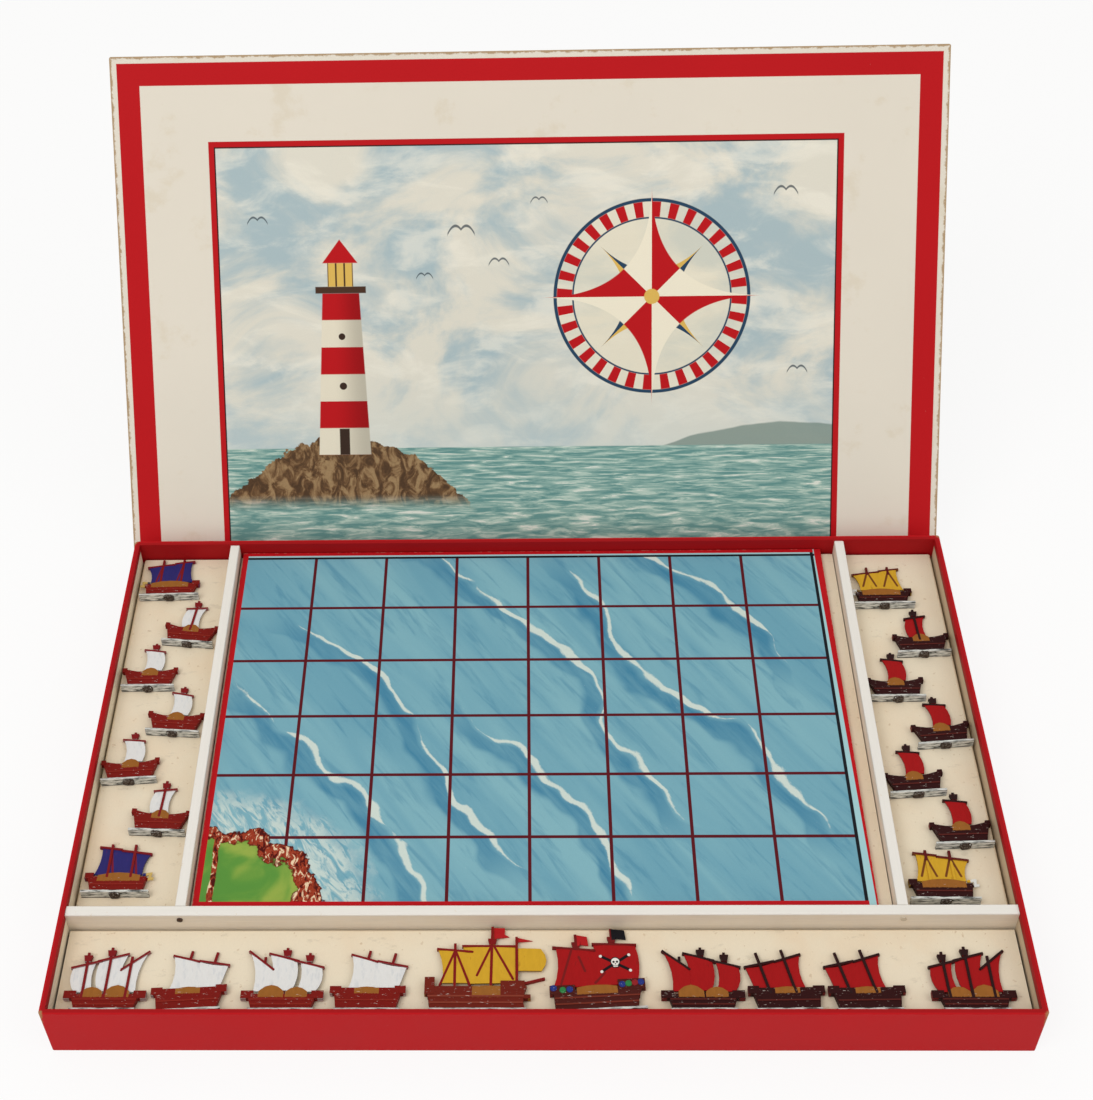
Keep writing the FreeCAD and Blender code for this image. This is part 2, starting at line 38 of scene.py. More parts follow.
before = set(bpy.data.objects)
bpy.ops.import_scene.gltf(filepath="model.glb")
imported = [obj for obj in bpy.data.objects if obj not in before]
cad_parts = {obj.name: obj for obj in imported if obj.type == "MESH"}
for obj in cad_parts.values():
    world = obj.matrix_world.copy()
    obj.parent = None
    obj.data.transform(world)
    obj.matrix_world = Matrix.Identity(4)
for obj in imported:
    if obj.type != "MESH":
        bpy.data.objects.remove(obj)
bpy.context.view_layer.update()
MM = 0.001
SIDES = ("front", "back", "left", "right")
SHEEN = 0.08
PLAIN_BOARD = "greyboard"  # The frame's own material for bare board


def ink(code):
    """The linear colour of a six-digit screen colour, by the sRGB curve."""
    parts = [int(code[i:i + 2], 16) / 255 for i in (0, 2, 4)]
    return tuple(p / 12.92 if p <= 0.04045 else ((p + 0.055) / 1.055) ** 2.4 for p in parts)


def colour(name, description, code):
    """A colour that the panel shows."""
    return FloatVectorProperty(
        name=name, description=description, default=ink(code), size=3, min=0.0, max=1.0, subtype="COLOR"
    )


def number(name, description, value, **more):
    """A number that the panel shows."""
    return FloatProperty(name=name, description=description, default=value, **more)


def length(name, description, value):
    """A length in metres that the panel shows."""
    return number(name, description, value, unit="LENGTH", precision=4)


def angle(name, description, degrees):
    """An angle that the panel shows."""
    return number(name, description, math.radians(degrees), subtype="ANGLE")


class PaperFinish(bpy.types.PropertyGroup):
    """Papers, cards and wood of the case"""

    red: colour("Red paper", "Covering paper outside the tray", "b8151b")
    # Darker red over the rim and the inner walls: partly the turned-in paper, partly painted shade
    red_lining_and_shade: colour("Red lining", "Covering paper turned in over the walls", "9c1418")
    paper_core: colour("Paper core", "White core that shows where the red is rubbed off", "dcb9a4")
    kraft: colour("Kraft", "Brown board that shows at worn corners", "a5855c")
    greyboard: colour("Greyboard", "Bare board inside the lid", "9d9382")
    card: colour("Card", "Buff cards under the ships", "eaddc4")
    card_stain: colour("Card stain", "Aged patches on the cards", "e6cfb0")
    white_wood: colour("White paint", "Painted top of the partitions", "ebe7df")
    bare_wood: colour("Bare wood", "Sides of the partitions", "dccbb0")
    steel: colour("Steel", "Heads of the nails", "5b534c")


class ChartFinish(bpy.types.PropertyGroup):
    """Printed sea chart"""

    field_width: length("Field width", "Width of one field of the chart", 0.04218)
    field_depth: length("Field depth", "Depth of one field of the chart", 0.03846)
    right_line: length("Right line", "Place of the black line at the right edge", 0.1645)
    back_line: length("Back line", "Place of the black line at the back edge", 0.1430)
    line: length("Line", "Thickness of a grid line", 0.0018)
    sea: colour("Sea", "Middle blue of the sea", "6da2b4")
    deep: colour("Deep sea", "Strokes beside the foam", "3f7f9e")
    shallow: colour("Shallow sea", "Pale turquoise of the sea", "86b6c0")
    foam: colour("Foam", "Crests of the waves", "d3ded4")
    grid: colour("Grid", "Lines between the fields", "5a141c")
    land: colour("Land", "Green of the shore", "6f9c3f")
    cliff: colour("Cliff", "Red rocks of the shore", "9b3a22")
    binding: colour("Edging", "Red edging paper of the chart", "bb151d")


class LidFinish(bpy.types.PropertyGroup):
    """Printed sheet and sides of the lid"""

    cream: colour("Cream", "Plain field round the picture", "e2dacb")
    red: colour("Red band", "Band along the edges and line round the picture", "ba161c")
    side: colour("Side paper", "Covering paper of the walls", "d3c6ad")
    sky: colour("Sky", "Cream part of the sky", "dfdacb")
    cloud: colour("Cloud", "Blue part of the sky", "98b3bd")
    sea: colour("Sea", "Blue-green of the painted sea", "8fb0a6")
    crest: colour("Crest", "White crests of the painted sea", "e4e6da")
    rock: colour("Rock", "Rocks under the tower", "7a5a3c")
    gold: colour("Gold", "Light parts of the compass rose", "dcb45a")


class FleetFinish(bpy.types.PropertyGroup):
    """Paints of the cast ships"""

    white_sail: colour("White sail", "Sails of the white ships", "e2e1de")
    blue_sail: colour("Blue sail", "Sails of the blue ships", "2f2b6a")
    yellow_sail: colour("Yellow sail", "Sails of the yellow ships", "cfa12c")
    red_sail: colour("Red sail", "Sails of the red ships", "a01517")
    brick: colour("Brick hull", "Hulls of the white and blue ships", "781812")
    maroon: colour("Maroon hull", "Hulls of the red and yellow ships", "2e0d0d")
    ochre: colour("Ochre", "Decks", "965f28")
    dark_red: colour("Dark red", "Masts of the white ships", "7c1a1c")
    black: colour("Black", "Masts of the red ships", "2a1414")
    tin: colour("Tin", "Bare metal of the stands", "dcdcd6")
    lump: colour("Gate stub", "Rough metal where the casting was broken off", "3d3028")
    lump_width: length("Stub width", "Width of the rough stub in the middle of a stand", 0.0060)
    shield: length("Shield", "Width of a round shield on the red flagship", 0.0033)


class StageFinish(bpy.types.PropertyGroup):
    """Floor, light and camera"""

    floor: colour("Floor", "Pale floor", "f4f2ee")
    floor_size: length("Floor size", "Side of the floor", 8.0)
    lens: number("Lens", "Focal length on a 36 mm sensor", 58.678, min=1.0)
    camera: FloatVectorProperty(
        name="Camera", description="Place of the camera", default=(0.00019, -0.56765, 0.83823), unit="LENGTH"
    )
    yaw: angle("Yaw", "Turn to the right", -2.299)
    pitch: angle("Pitch", "Tilt down", 42.865)
    roll: angle("Roll", "Turn of the picture", -2.165)
    shift: FloatVectorProperty(
        name="Shift", description="Shift of the picture in its frame", default=(0.06, -0.16), size=2
    )
    sky_light: number("Sky light", "Level of the even light", 0.62, min=0.0)
    key_light: number("Key light", "Power of the main lamp", 17.0, min=0.0, unit="POWER")
    fill_light: number("Fill light", "Power of the side lamp", 6.0, min=0.0, unit="POWER")


def math_method(operation, swapped=False):
    """A method of Val that adds one Math node."""
    def method(self, *other):
        return self.sheet.calc(operation, *((*other, self) if swapped else (self, *other)))
    return method


class Val:
    """A value in a material. Arithmetic on it adds Math nodes."""

    def __init__(self, sheet, socket):
        self.sheet = sheet
        self.socket = socket

    __add__ = __radd__ = math_method("ADD")
    __sub__ = math_method("SUBTRACT")
    __rsub__ = math_method("SUBTRACT", swapped=True)
    __mul__ = __rmul__ = math_method("MULTIPLY")
    __truediv__ = math_method("DIVIDE")
    __mod__ = math_method("FLOORED_MODULO")
    __and__ = math_method("MINIMUM")
    __or__ = math_method("MAXIMUM")
    __abs__ = math_method("ABSOLUTE")

    def above(self, edge, soft=0.1):
        """1 above the edge and 0 below it, with a soft step."""
        return self.sheet.ramp(self, edge - soft, edge + soft, 0.0, 1.0)

    def below(self, edge, soft=0.1):
        """1 below the edge and 0 above it, with a soft step."""
        return self.sheet.ramp(self, edge - soft, edge + soft, 1.0, 0.0)

    def between(self, low, high, soft=0.1):
        """1 between two edges."""
        return self.above(low, soft) & self.below(high, soft)


def any_of(masks):
    """The union of masks."""
    whole = masks[0]
    for mask in masks[1:]:
        whole = whole | mask
    return whole


class Sheet:
    """The nodes of one material or world, and the few kinds of node that the finishes use."""

    def __init__(self, name, world=False):
        self.owner = (bpy.data.worlds if world else bpy.data.materials).new(name)
        self.owner.use_nodes = True
        self.tree = self.owner.node_tree
        self.tree.nodes.clear()
        self.spot = None

    def node(self, kind, settings=None, inputs=None):
        """Any node: its type, its settings, then its inputs by index, identifier or name.

        An input is a link, a value or a six-digit colour.
        """
        made = self.tree.nodes.new(kind)
        for key, value in (settings or {}).items():
            setattr(made, key, value)
        for key, value in (inputs or {}).items():
            if isinstance(key, int):
                socket = made.inputs[key]
            else:
                socket = next(s for s in made.inputs if key in (s.identifier, s.name))
            if isinstance(value, str):
                value = ink(value)
            elif isinstance(value, Val):
                value = value.socket
            if isinstance(value, bpy.types.NodeSocket):
                self.tree.links.new(value, socket)
            elif socket.type == "RGBA":
                socket.default_value = (*value, 1.0)
            else:
                socket.default_value = value
        return made

    def calc(self, operation, *values):
        """The result of a Math node."""
        made = self.node("ShaderNodeMath", {"operation": operation}, dict(enumerate(values)))
        return Val(self, made.outputs[0])

    def ramp(self, value, start, end, low, high, curve="SMOOTHSTEP"):
        """A value that runs from low to high while another runs from start to end."""
        inputs = {"Value": value, "From Min": start, "From Max": end, "To Min": low, "To Max": high}
        made = self.node("ShaderNodeMapRange", {"interpolation_type": curve}, inputs)
        return Val(self, made.outputs[0])

    def vector(self, operation, *parts, scale=1.0):
        """The result of a Vector Math node."""
        inputs = {**dict(enumerate(parts)), "Scale": scale}
        made = self.node("ShaderNodeVectorMath", {"operation": operation}, inputs)
        if operation in ("LENGTH", "DOT_PRODUCT"):
            return Val(self, made.outputs["Value"])
        return made.outputs["Vector"]

    def place(self, where=(0.0, 0.0, 0.0), turned=(0.0, 0.0, 0.0)):
        """Three object coordinates in millimetres from a place and a turn, kept together as the spot."""
        coords = self.node("ShaderNodeTexCoord").outputs["Object"]
        inputs = {"Vector": coords, "Location": where, "Rotation": turned, "Scale": (MM, MM, MM)}
        self.spot = self.node("ShaderNodeMapping", {"vector_type": "TEXTURE"}, inputs).outputs[0]
        apart = self.node("ShaderNodeSeparateXYZ", {}, {0: self.spot})
        return [Val(self, socket) for socket in apart.outputs]

    def flat(self, x, y):
        """A vector of two values."""
        return self.node("ShaderNodeCombineXYZ", {}, {0: x, 1: y}).outputs[0]

    def noise(self, scale, detail=3.0, rough=0.55, twist=0.0, squeeze=None, at=None):
        """Cloudy noise between 0 and 1, by waves per millimetre, at the spot or at another vector."""
        if squeeze:
            at = self.vector("MULTIPLY", self.spot, squeeze)
        inputs = {"Vector": at or self.spot, "Scale": scale, "Detail": detail, "Roughness": rough}
        inputs["Distortion"] = twist
        return Val(self, self.node("ShaderNodeTexNoise", {}, inputs).outputs[0])

    def mix(self, under, over, mask, blend="MIX"):
        """One colour laid over another where the mask is 1."""
        inputs = {"Factor_Float": mask, "A_Color": under, "B_Color": over}
        made = self.node("ShaderNodeMix", {"data_type": "RGBA", "blend_type": blend}, inputs)
        return next(s for s in made.outputs if s.identifier == "Result_Color")

    def layers(self, base, *coats):
        """Colours laid over a base in turn, each by its own mask."""
        for paint, mask in coats:
            base = self.mix(base, paint, mask)
        return base

    def shade(self, base, amount):
        """A colour times a value."""
        grey = self.node("ShaderNodeCombineColor", {}, dict.fromkeys(range(3), amount))
        return self.mix(base, grey.outputs[0], 1.0, "MULTIPLY")

    def disc(self, x, y, middle, radius, soft=0.12):
        """1 inside a circle."""
        away = self.vector("SUBTRACT", self.flat(x, y), (*middle, 0.0))
        return self.vector("LENGTH", away).below(radius, soft)

    def stroke(self, spot, line, width, soft=0.12):
        """1 within half a width of a straight line, by the distance from its nearest point."""
        start = Vector((line[0], line[1], 0.0))
        run = Vector((line[2], line[3], 0.0)) - start
        away = self.vector("SUBTRACT", spot, start)
        along = self.vector("DOT_PRODUCT", away, run / run.length_squared)
        share = self.node("ShaderNodeClamp", {}, {"Value": along}).outputs[0]
        near = self.vector("SCALE", run, scale=share)
        return self.vector("LENGTH", self.vector("SUBTRACT", away, near)).below(width / 2, soft)

    def oblong(self, x, y, box, soft=0.12):
        """1 inside an upright rectangle of x0, y0, x1 and y1."""
        return x.between(box[0], box[2], soft) & y.between(box[1], box[3], soft)

    def finish(self, base, rough, bump, depth, metal=0.0):
        """The material, with its colour, roughness, relief and metal joined to one shader."""
        relief = self.node("ShaderNodeBump", {}, {"Height": bump, "Distance": depth, "Strength": 1.0})
        inputs = {"Base Color": base, "Roughness": rough, "Metallic": metal, "Normal": relief.outputs[0]}
        inputs["Specular IOR Level"] = SHEEN
        return self.show(self.node("ShaderNodeBsdfPrincipled", {}, inputs))

    def show(self, shader, kind="ShaderNodeOutputMaterial"):
        """The material or world, with its shader joined to the output."""
        self.node(kind, {}, {"Surface": shader.outputs[0]})
        return self.owner


def dress(material, *nodes):
    """Gives a material to nodes of the frame."""
    for name in nodes:
        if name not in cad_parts:
            raise RuntimeError("the case has no piece named " + name)
        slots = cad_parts[name].data.materials
        slots.clear()
        slots.append(material)


# Tray

LINING_AND_SHADE_IN = 0.9
STRIP_TOP = 4.5
STRIP_SHADOW_LINE = (5.0, 4.3)


def red_paper(paper):
    """Red paper: fine grain, a darker lining that is partly painted shade, rubbed rims and bare board at the
    corners.

    Inside the side walls, a strip shows below a thin painted shadow line, cream at the left and tan at the
    right.
    """
    sheet = Sheet("red_paper")
    x, y, z = sheet.place()
    half_w, half_d, top = (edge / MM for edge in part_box("tray_wrap")[1])
    from_x = half_w - abs(x)
    from_y = half_d - abs(y)
    grain = sheet.noise(2.6, 2.0)
    cloud = sheet.noise(0.03, 4.0)
    scuff = sheet.noise(0.8, 5.0, 0.7, squeeze=(0.25, 0.25, 1.6))
    rub = sheet.noise(0.45, 5.0, 0.65)
    inside = from_x.above(2.5, 0.05) & from_y.above(4.0, 0.2)
    # Painted shadow: a thin dark line along the top edge of the strip
    line = z.between(top - STRIP_SHADOW_LINE[0], top - STRIP_SHADOW_LINE[1], 0.3)
    foot = z.below(0.5, 0.4) & rub.above(0.58, 0.06)
    corner = sheet.calc("SQRT", from_x * from_x + from_y * from_y) + (top - z) * 0.12
    bare = (corner + rub * 5.0).below(4.2, 0.8)
    # Partly painted shade: the red darkens from just inside the outer faces, over the rim and the inner
    # walls
    base = sheet.mix(paper.red, paper.red_lining_and_shade, (from_x & from_y).above(LINING_AND_SHADE_IN, 0.3) * 0.8)
    base = sheet.layers(
        sheet.shade(base, 0.9 + cloud * 0.14 + grain * 0.08),
        (sheet.mix(paper.card, paper.kraft, x.above(0.0) * 0.55), inside & z.below(top - STRIP_TOP, 0.3)),
        ("4a3a2c", inside & line),
        (paper.paper_core, scuff.above(0.72, 0.04) * 0.14),
        (paper.paper_core, foot * 0.3),
        (paper.kraft, bare * 0.85),
    )
    return sheet.finish(base, 0.5 + cloud * 0.12 + bare * 0.2, grain + scuff * 0.4, 0.00005)


def grey_board(paper):
    """Fibrous grey board."""
    sheet = Sheet("greyboard")
    sheet.place()
    fibre = sheet.noise(1.8, 5.0, 0.7, squeeze=(0.7, 1.6, 1.2))
    fleck = sheet.noise(0.8, 3.0).above(0.66, 0.03)
    base = sheet.mix(sheet.shade(paper.greyboard, 0.82 + fibre * 0.36), paper.kraft, fleck * 0.5)
    return sheet.finish(base, 0.9, fibre, 0.0001)


class FLEET_OT_tray(bpy.types.Operator):
    """Cover the tray with red paper over grey board"""

    bl_idname = "fleet_case.tray"
    bl_label = "Tray"

    def execute(self, context):
        paper = context.scene.fleet_paper
        dress(red_paper(paper), "tray_wrap")
        dress(grey_board(paper), "tray_floor", *["tray_%s_wall" % side for side in SIDES])
        return {"FINISHED"}


# Partitions

PAINT_DEEP = 0.75


def painted_wood(paper, name, along):
    """White paint on top, bare grained sides, with the grain along one axis."""
    sheet = Sheet(name)
    _, _, z = sheet.place()
    squeeze = [1.0, 1.0, 1.0]
    squeeze[along] = 0.035
    grain = sheet.noise(1.1, 5.0, 0.6, 0.4, squeeze=squeeze)
    patch = sheet.noise(0.05, 4.0)
    thin = sheet.noise(0.22, 5.0, 0.65)
    chip = thin.above(0.68, 0.02) & sheet.noise(0.9, 3.0).above(0.5, 0.1)
    painted = z.above(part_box(name)[1].z / MM - PAINT_DEEP, 0.25)
    bare = sheet.shade(paper.bare_wood, 0.78 + grain * 0.4 + patch * 0.1)
    white = sheet.mix(sheet.shade(paper.white_wood, 0.93 + grain * 0.1), paper.bare_wood, chip * 0.8)
    base = sheet.layers(bare, (paper.white_wood, 0.25 + 0.3 * thin), (white, painted))
    return sheet.finish(base, 0.75 - painted * 0.2, grain, 0.00008)


def nail_steel(paper):
    """Dull steel with rust stains, painted over on the right."""
    sheet = Sheet("nail_steel")
    x, _, _ = sheet.place()
    stain = sheet.noise(1.6, 4.0, 0.7)
    base = sheet.layers(paper.steel, ("4a2c1a", stain.above(0.5, 0.12)), ("cdc2b0", x.above(0.0)))
    return sheet.finish(base, 0.45 + stain * 0.3, stain, 0.00005, 0.8 - stain * 0.5)


class FLEET_OT_partitions(bpy.types.Operator):
    """Paint the wooden partitions and their nails"""

    bl_idname = "fleet_case.partitions"
    bl_label = "Partitions"

    def execute(self, context):
        paper = context.scene.fleet_paper
        for name, along in (("left_partition", 1), ("right_partition", 1), ("front_partition", 0)):
            dress(painted_wood(paper, name, along), name)
        dress(nail_steel(paper), "partition_nails")
        return {"FINISHED"}


# Cards

def buff_card(paper):
    """Buff card with aged patches, foxing spots and grey smudges."""
    sheet = Sheet("buff_card")
    sheet.place()
    patch = sheet.noise(0.018, 4.0, 0.6)
    fibre = sheet.noise(2.2, 4.0, squeeze=(1.0, 0.4, 1.0))
    fox = sheet.noise(0.35, 2.0).above(0.7, 0.025) * sheet.noise(0.04, 2.0)
    smudge = sheet.noise(0.12, 5.0, 0.7, squeeze=(0.6, 1.4, 1.0)).above(0.64, 0.05)
    base = sheet.mix(paper.card, paper.card_stain, patch.above(0.56, 0.14) * 0.55)
    base = sheet.shade(base, 0.94 + fibre * 0.1)
    base = sheet.layers(base, ("b08a58", fox * 0.6), ("a79b86", smudge * 0.22))
    return sheet.finish(base, 0.8, fibre, 0.00003)


class FLEET_OT_cards(bpy.types.Operator):
    """Colour the folded cards"""

    bl_idname = "fleet_case.cards"
    bl_label = "Cards"

    def execute(self, context):
        material = buff_card(context.scene.fleet_paper)
        dress(material, "left_inlay", "right_inlay", "front_inlay", "board_platform")
        return {"FINISHED"}


# Sea chart

# Crests of the sea: place across, swing, wave length over 2 pi, phase, start and end along
WAVES = (
    (-150.0, 7.0, 31.0, 0.4, -60.0, 60.0),
    (-96.0, 9.0, 37.0, 2.1, -130.0, 110.0),
    (-44.0, 8.0, 28.0, 4.4, -150.0, 40.0),
    (-8.0, 7.0, 33.0, 0.9, -40.0, 150.0),
    (48.0, 9.0, 35.0, 3.0, -150.0, 70.0),
    (92.0, 8.0, 30.0, 5.2, -90.0, 120.0),
    (146.0, 7.0, 34.0, 1.6, -120.0, 30.0),
)
WAVE_SLOPE = math.radians(-53.0)
TROUGH = (-11.0, -2.6)
SHORE_W, SHORE_D = 58.0, 43.0
MARGIN = 5.0


def open_sea(sheet, chart, x, y):
    """Blue water in slanting strokes, and the wash for the surf.

    Each crest is a pale brush stroke along a sine, beside a deep stroke.
    """
    turn_c, turn_s = math.cos(WAVE_SLOPE), math.sin(WAVE_SLOPE)
    u = x * turn_c + y * turn_s
    v = y * turn_c - x * turn_s
    slope = sheet.flat(u * 0.12, v)
    brush = sheet.noise(0.16, 5.0, 0.62, 0.6, at=slope)
    broad = sheet.noise(0.035, 3.0, 0.5, 0.8, at=slope)
    feather = sheet.noise(0.55, 4.0, 0.65, 0.8, at=sheet.flat(u * 0.5, v))
    wash = sheet.noise(0.24, 5.0, 0.62, 1.0, at=sheet.flat(u * 0.3, v))
    warp = (sheet.noise(0.03, 1.6) - 0.5) * 30.0
    broken = sheet.noise(0.06, 2.0, at=sheet.flat(u * 0.4, v * 0.2)).above(0.42, 0.16)
    crests, troughs = [], []
    for across, swing, wave, phase, start, end in WAVES:
        off = v - sheet.calc("SINE", u / wave + phase) * swing - warp - across
        there = u.between(start, end, 30.0)
        crests.append((there * broken * 3.0 + feather * 2.0 - 2.0 - abs(off)).above(0.0, 0.6))
        troughs.append(off.between(*TROUGH, 3.2) & (brush * 1.5 - 0.05) & there)
    water = sheet.layers(
        chart.sea,
        (chart.shallow, broad.above(0.5, 0.16) * 0.85),
        (chart.deep, brush.above(0.6, 0.1) * 0.45),
        (chart.deep, any_of(troughs)),
        (chart.foam, any_of(crests) * 0.92),
    )
    return water, wash


def grid_lines(value, last, pitch, half):
    """1 on lines at even steps back from a last line, which is left out itself."""
    away = abs((value - last + pitch / 2) % pitch - pitch / 2)
    return away.below(half, 0.15) & value.below(last - MARGIN)


def sea_print(chart):
    """A printed chart: open sea, a green shore with red rocks in one corner, and the grid of fields."""
    sheet = Sheet("chart_print")
    x, y, _ = sheet.place()
    water, wash = open_sea(sheet, chart, x, y)
    left, front, _ = (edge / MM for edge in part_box("board_print")[0])
    right, back, half = chart.right_line / MM, chart.back_line / MM, chart.line / MM / 2
    along = (x - left) / SHORE_W
    up = (y - front) / SHORE_D
    ragged = (sheet.noise(0.075, 4.0, 0.55) - 0.5) * 0.6
    shore = sheet.calc("SQRT", along * along + up * up) + ragged
    surf = shore.below(1.42, 0.2) & wash.above(0.5, 0.1)
    columns = grid_lines(x, right, chart.field_width / MM, half)
    rows = grid_lines(y, back, chart.field_depth / MM, half)
    inside = x.below(right) & y.below(back)
    outside = x.above(right, 0.2) | y.above(back, 0.2)
    edge = abs(x - right).below(0.9, 0.15) | abs(y - back).below(0.8, 0.15)
    rock = sheet.noise(0.34, 4.0, 0.6, 1.2, squeeze=(1.0, 0.55, 1.0))
    cliff = sheet.mix(chart.cliff, "ecd2ad", rock.above(0.58, 0.03))
    cliff = sheet.mix(cliff, "4a0f0c", rock.below(0.44, 0.04))
    field = sheet.noise(0.045, 3.0, 0.5, 0.5)
    grass = sheet.mix(chart.land, "4d8a3c", field.above(0.5, 0.14) * 0.7)
    grass = sheet.mix(grass, "a9b452", field.below(0.44, 0.12) * 0.6)
    rim = abs(x - left - MARGIN - ragged * 6.0).below(1.5, 0.3)
    dots = sheet.noise(3.2, 1.0)
    rubbed = sheet.noise(0.5, 5.0, 0.7).above(0.74, 0.03)
    base = sheet.layers(
        water,
        (chart.foam, surf * 0.8),
        (chart.grid, (columns | rows) & inside),
        ("a9d2d6", outside * 0.85),
        ("17181d", edge),
        ("4a1410", shore.below(1.03, 0.01)),
        (cliff, shore.below(1.01, 0.01)),
        ("5c1a12", shore.below(0.87, 0.01)),
        (grass, shore.below(0.855, 0.012)),
        (cliff, rim & shore.below(0.86, 0.01)),
    )
    base = sheet.mix(sheet.shade(base, 0.93 + dots * 0.14), "e9e6dc", rubbed * 0.5)
    return sheet.finish(base, 0.42 + rubbed * 0.3, dots, 0.00002)


def edging(chart, paper):
    """Red edging paper, rubbed along the board's rim, with a wedge of the print's blue at the right."""
    sheet = Sheet("edging_paper")
    x, y, _ = sheet.place()
    low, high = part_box("board_binding")
    near = (x - low.x / MM) & (high.x / MM - x) & (y - low.y / MM) & (high.y / MM - y)
    rub = sheet.noise(0.4, 5.0, 0.65)
    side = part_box("board_print")[1].x / MM
    askew = (high.y / MM - y) * 0.013 + side
    base = sheet.layers(
        sheet.shade(chart.binding, 0.86 + sheet.noise(0.05, 3.0) * 0.2),
        (paper.paper_core, (near.below(0.3, 0.3) & rub.above(0.58, 0.06)) * 0.3),
        ("a3cdd2", (askew - x).above(0.0, 0.1) & x.above(side - 0.5)),
    )
    return sheet.finish(base, 0.45 + rub * 0.15, rub, 0.00004)


class FLEET_OT_chart(bpy.types.Operator):
    """Print the sea chart and edge its board"""

    bl_idname = "fleet_case.chart"
    bl_label = "Sea chart"

    def execute(self, context):
        scene = context.scene
        dress(sea_print(scene.fleet_chart), "board_print")
        dress(edging(scene.fleet_chart, scene.fleet_paper), "board_binding")
        dress(bpy.data.materials[PLAIN_BOARD], "board_core")
        return {"FINISHED"}


# Lid

LID_PLACE = (-0.0014, 0.1514, 0.0111)
LID_TURN = (math.radians(57.3), 0.0, 0.0)
LID_HALF = 243.0
LID_TALL = 308.0
LID_DEEP = 20.0
BAND = (4.0, 17.0)
PICTURE = (-184.0, 13.0, 180.0, 255.0)
HORIZON = 74.0
HILLS_X = 150.0
TOWER_X = -112.0
TOWER_FOOT, TOWER_TOP, LANTERN_FOOT, LANTERN_TOP = 70.0, 168.0, 172.0, 186.0
TOWER_BAND = 16.4
ROSE = (72.0, 164.0)
ROSE_RINGS = ((56.0, 58.0), (46.0, 47.0), (16.0, 17.0))
ROSE_TICKS = 32.0
GULLS = (
    (-40.0, 205.0, 8.0), (-18.0, 186.0, 6.0), (-62.0, 178.0, 5.0), (150.0, 226.0, 7.0), (-160.0, 212.0, 6.0),
    (6.0, 222.0, 5.0), (158.0, 120.0, 6.0),
)


def hump(off, half, tall):
    """The height of a rounded hill at a distance from its middle."""
    part = off / half
    return (1.0 - part * part) * tall


def painted_sky(sheet, lid, v):
    """Cream sky with drifting blue clouds that thicken towards the horizon."""
    drift = sheet.noise(0.016, 6.0, 0.58, 0.7, squeeze=(0.7, 1.0, 1.0))
    wisp = sheet.noise(0.05, 5.0, 0.6, 0.5, squeeze=(0.45, 1.0, 1.0))
    return sheet.layers(
        lid.sky,
        (lid.cloud, drift.above(0.52, 0.1) * 0.8),
        ("f0ebdc", wisp.above(0.56, 0.1) * 0.55),
        ("c9d3cf", v.below(90.0, 40.0) * 0.6),
    )


def painted_sea(sheet, lid, base, x, v):
    """Choppy sea below the horizon: short level strokes, longer and bolder towards the foot."""
    near = (HORIZON - v) / 54.0
    chop = sheet.noise(1.0, 5.0, 0.62, 0.6, at=sheet.flat(x * 0.05, v * (0.42 - near * 0.2)))
    sea = sheet.layers(
        lid.sea,
        ("4f8583", chop.above(0.54, 0.07) * 0.75),
        ("bcd0c2", chop.between(0.36, 0.45, 0.03) * 0.8),
        (lid.crest, chop.below(0.37, 0.03) * 0.9),
    )
    return sheet.mix(base, sea, v.below(HORIZON, 0.5))


def tower(sheet, lid, base, x, v):
    """A banded light tower on rocks: a taper in level bands, a gallery, a lantern and a pointed roof."""
    off = x - TOWER_X
    wide = abs(off)
    rough = (sheet.noise(0.07, 5.0, 0.65) - 0.5) * 22.0
    rocks = (hump(off, 62.0, 30.0) + 52.0 + rough - v).above(0.0, 0.4) & v.above(40.0, 6.0)
    facet = sheet.noise(0.13, 4.0, 0.6, 1.2, squeeze=(1.0, 0.6, 1.0))
    stone = sheet.mix(lid.rock, "4a3626", facet.below(0.48, 0.1) * 0.9)
    stone = sheet.mix(stone, "a98d66", facet.above(0.55, 0.08) * 0.7)
    stone = sheet.shade(stone, 0.7 + sheet.noise(0.7, 4.0, 0.6) * 0.6)
    width = 19.0 - v * 0.048
    body = (width - wide).above(0.0, 0.3) & v.between(TOWER_FOOT, TOWER_TOP, 0.3)
    wall = sheet.mix("e5dcc6", lid.red, ((v - TOWER_FOOT) / TOWER_BAND % 2.0).above(1.0, 0.02))
    wall = sheet.shade(wall, 1.0 - (off / width).above(0.25, 0.7) * 0.35)
    door = sheet.oblong(wide, v, (-3.0, TOWER_FOOT, 3.0, 86.0), 0.3)
    panes = sheet.disc(off, v, (0.0, 112.0), 2.2) | sheet.disc(off, v, (0.0, 142.0), 2.0)
    rail = sheet.oblong(wide, v, (-1.0, TOWER_TOP, 15.0, LANTERN_FOOT), 0.3)
    glass = sheet.oblong(wide, v, (-1.0, LANTERN_FOOT, 7.5, LANTERN_TOP), 0.3)
    bars = abs(off % 5.0 - 2.5).below(0.5, 0.2) & glass
    roof = (10.5 - (v - LANTERN_TOP) * 0.75 - wide).above(0.0, 0.3) & v.above(LANTERN_TOP, 0.3)
    return sheet.layers(
        base, (stone, rocks), (wall, body), ("3a2a22", door | panes), ("4a3226", rail), (lid.gold, glass),
        ("4a3226", bars), (lid.red, roof),
    )


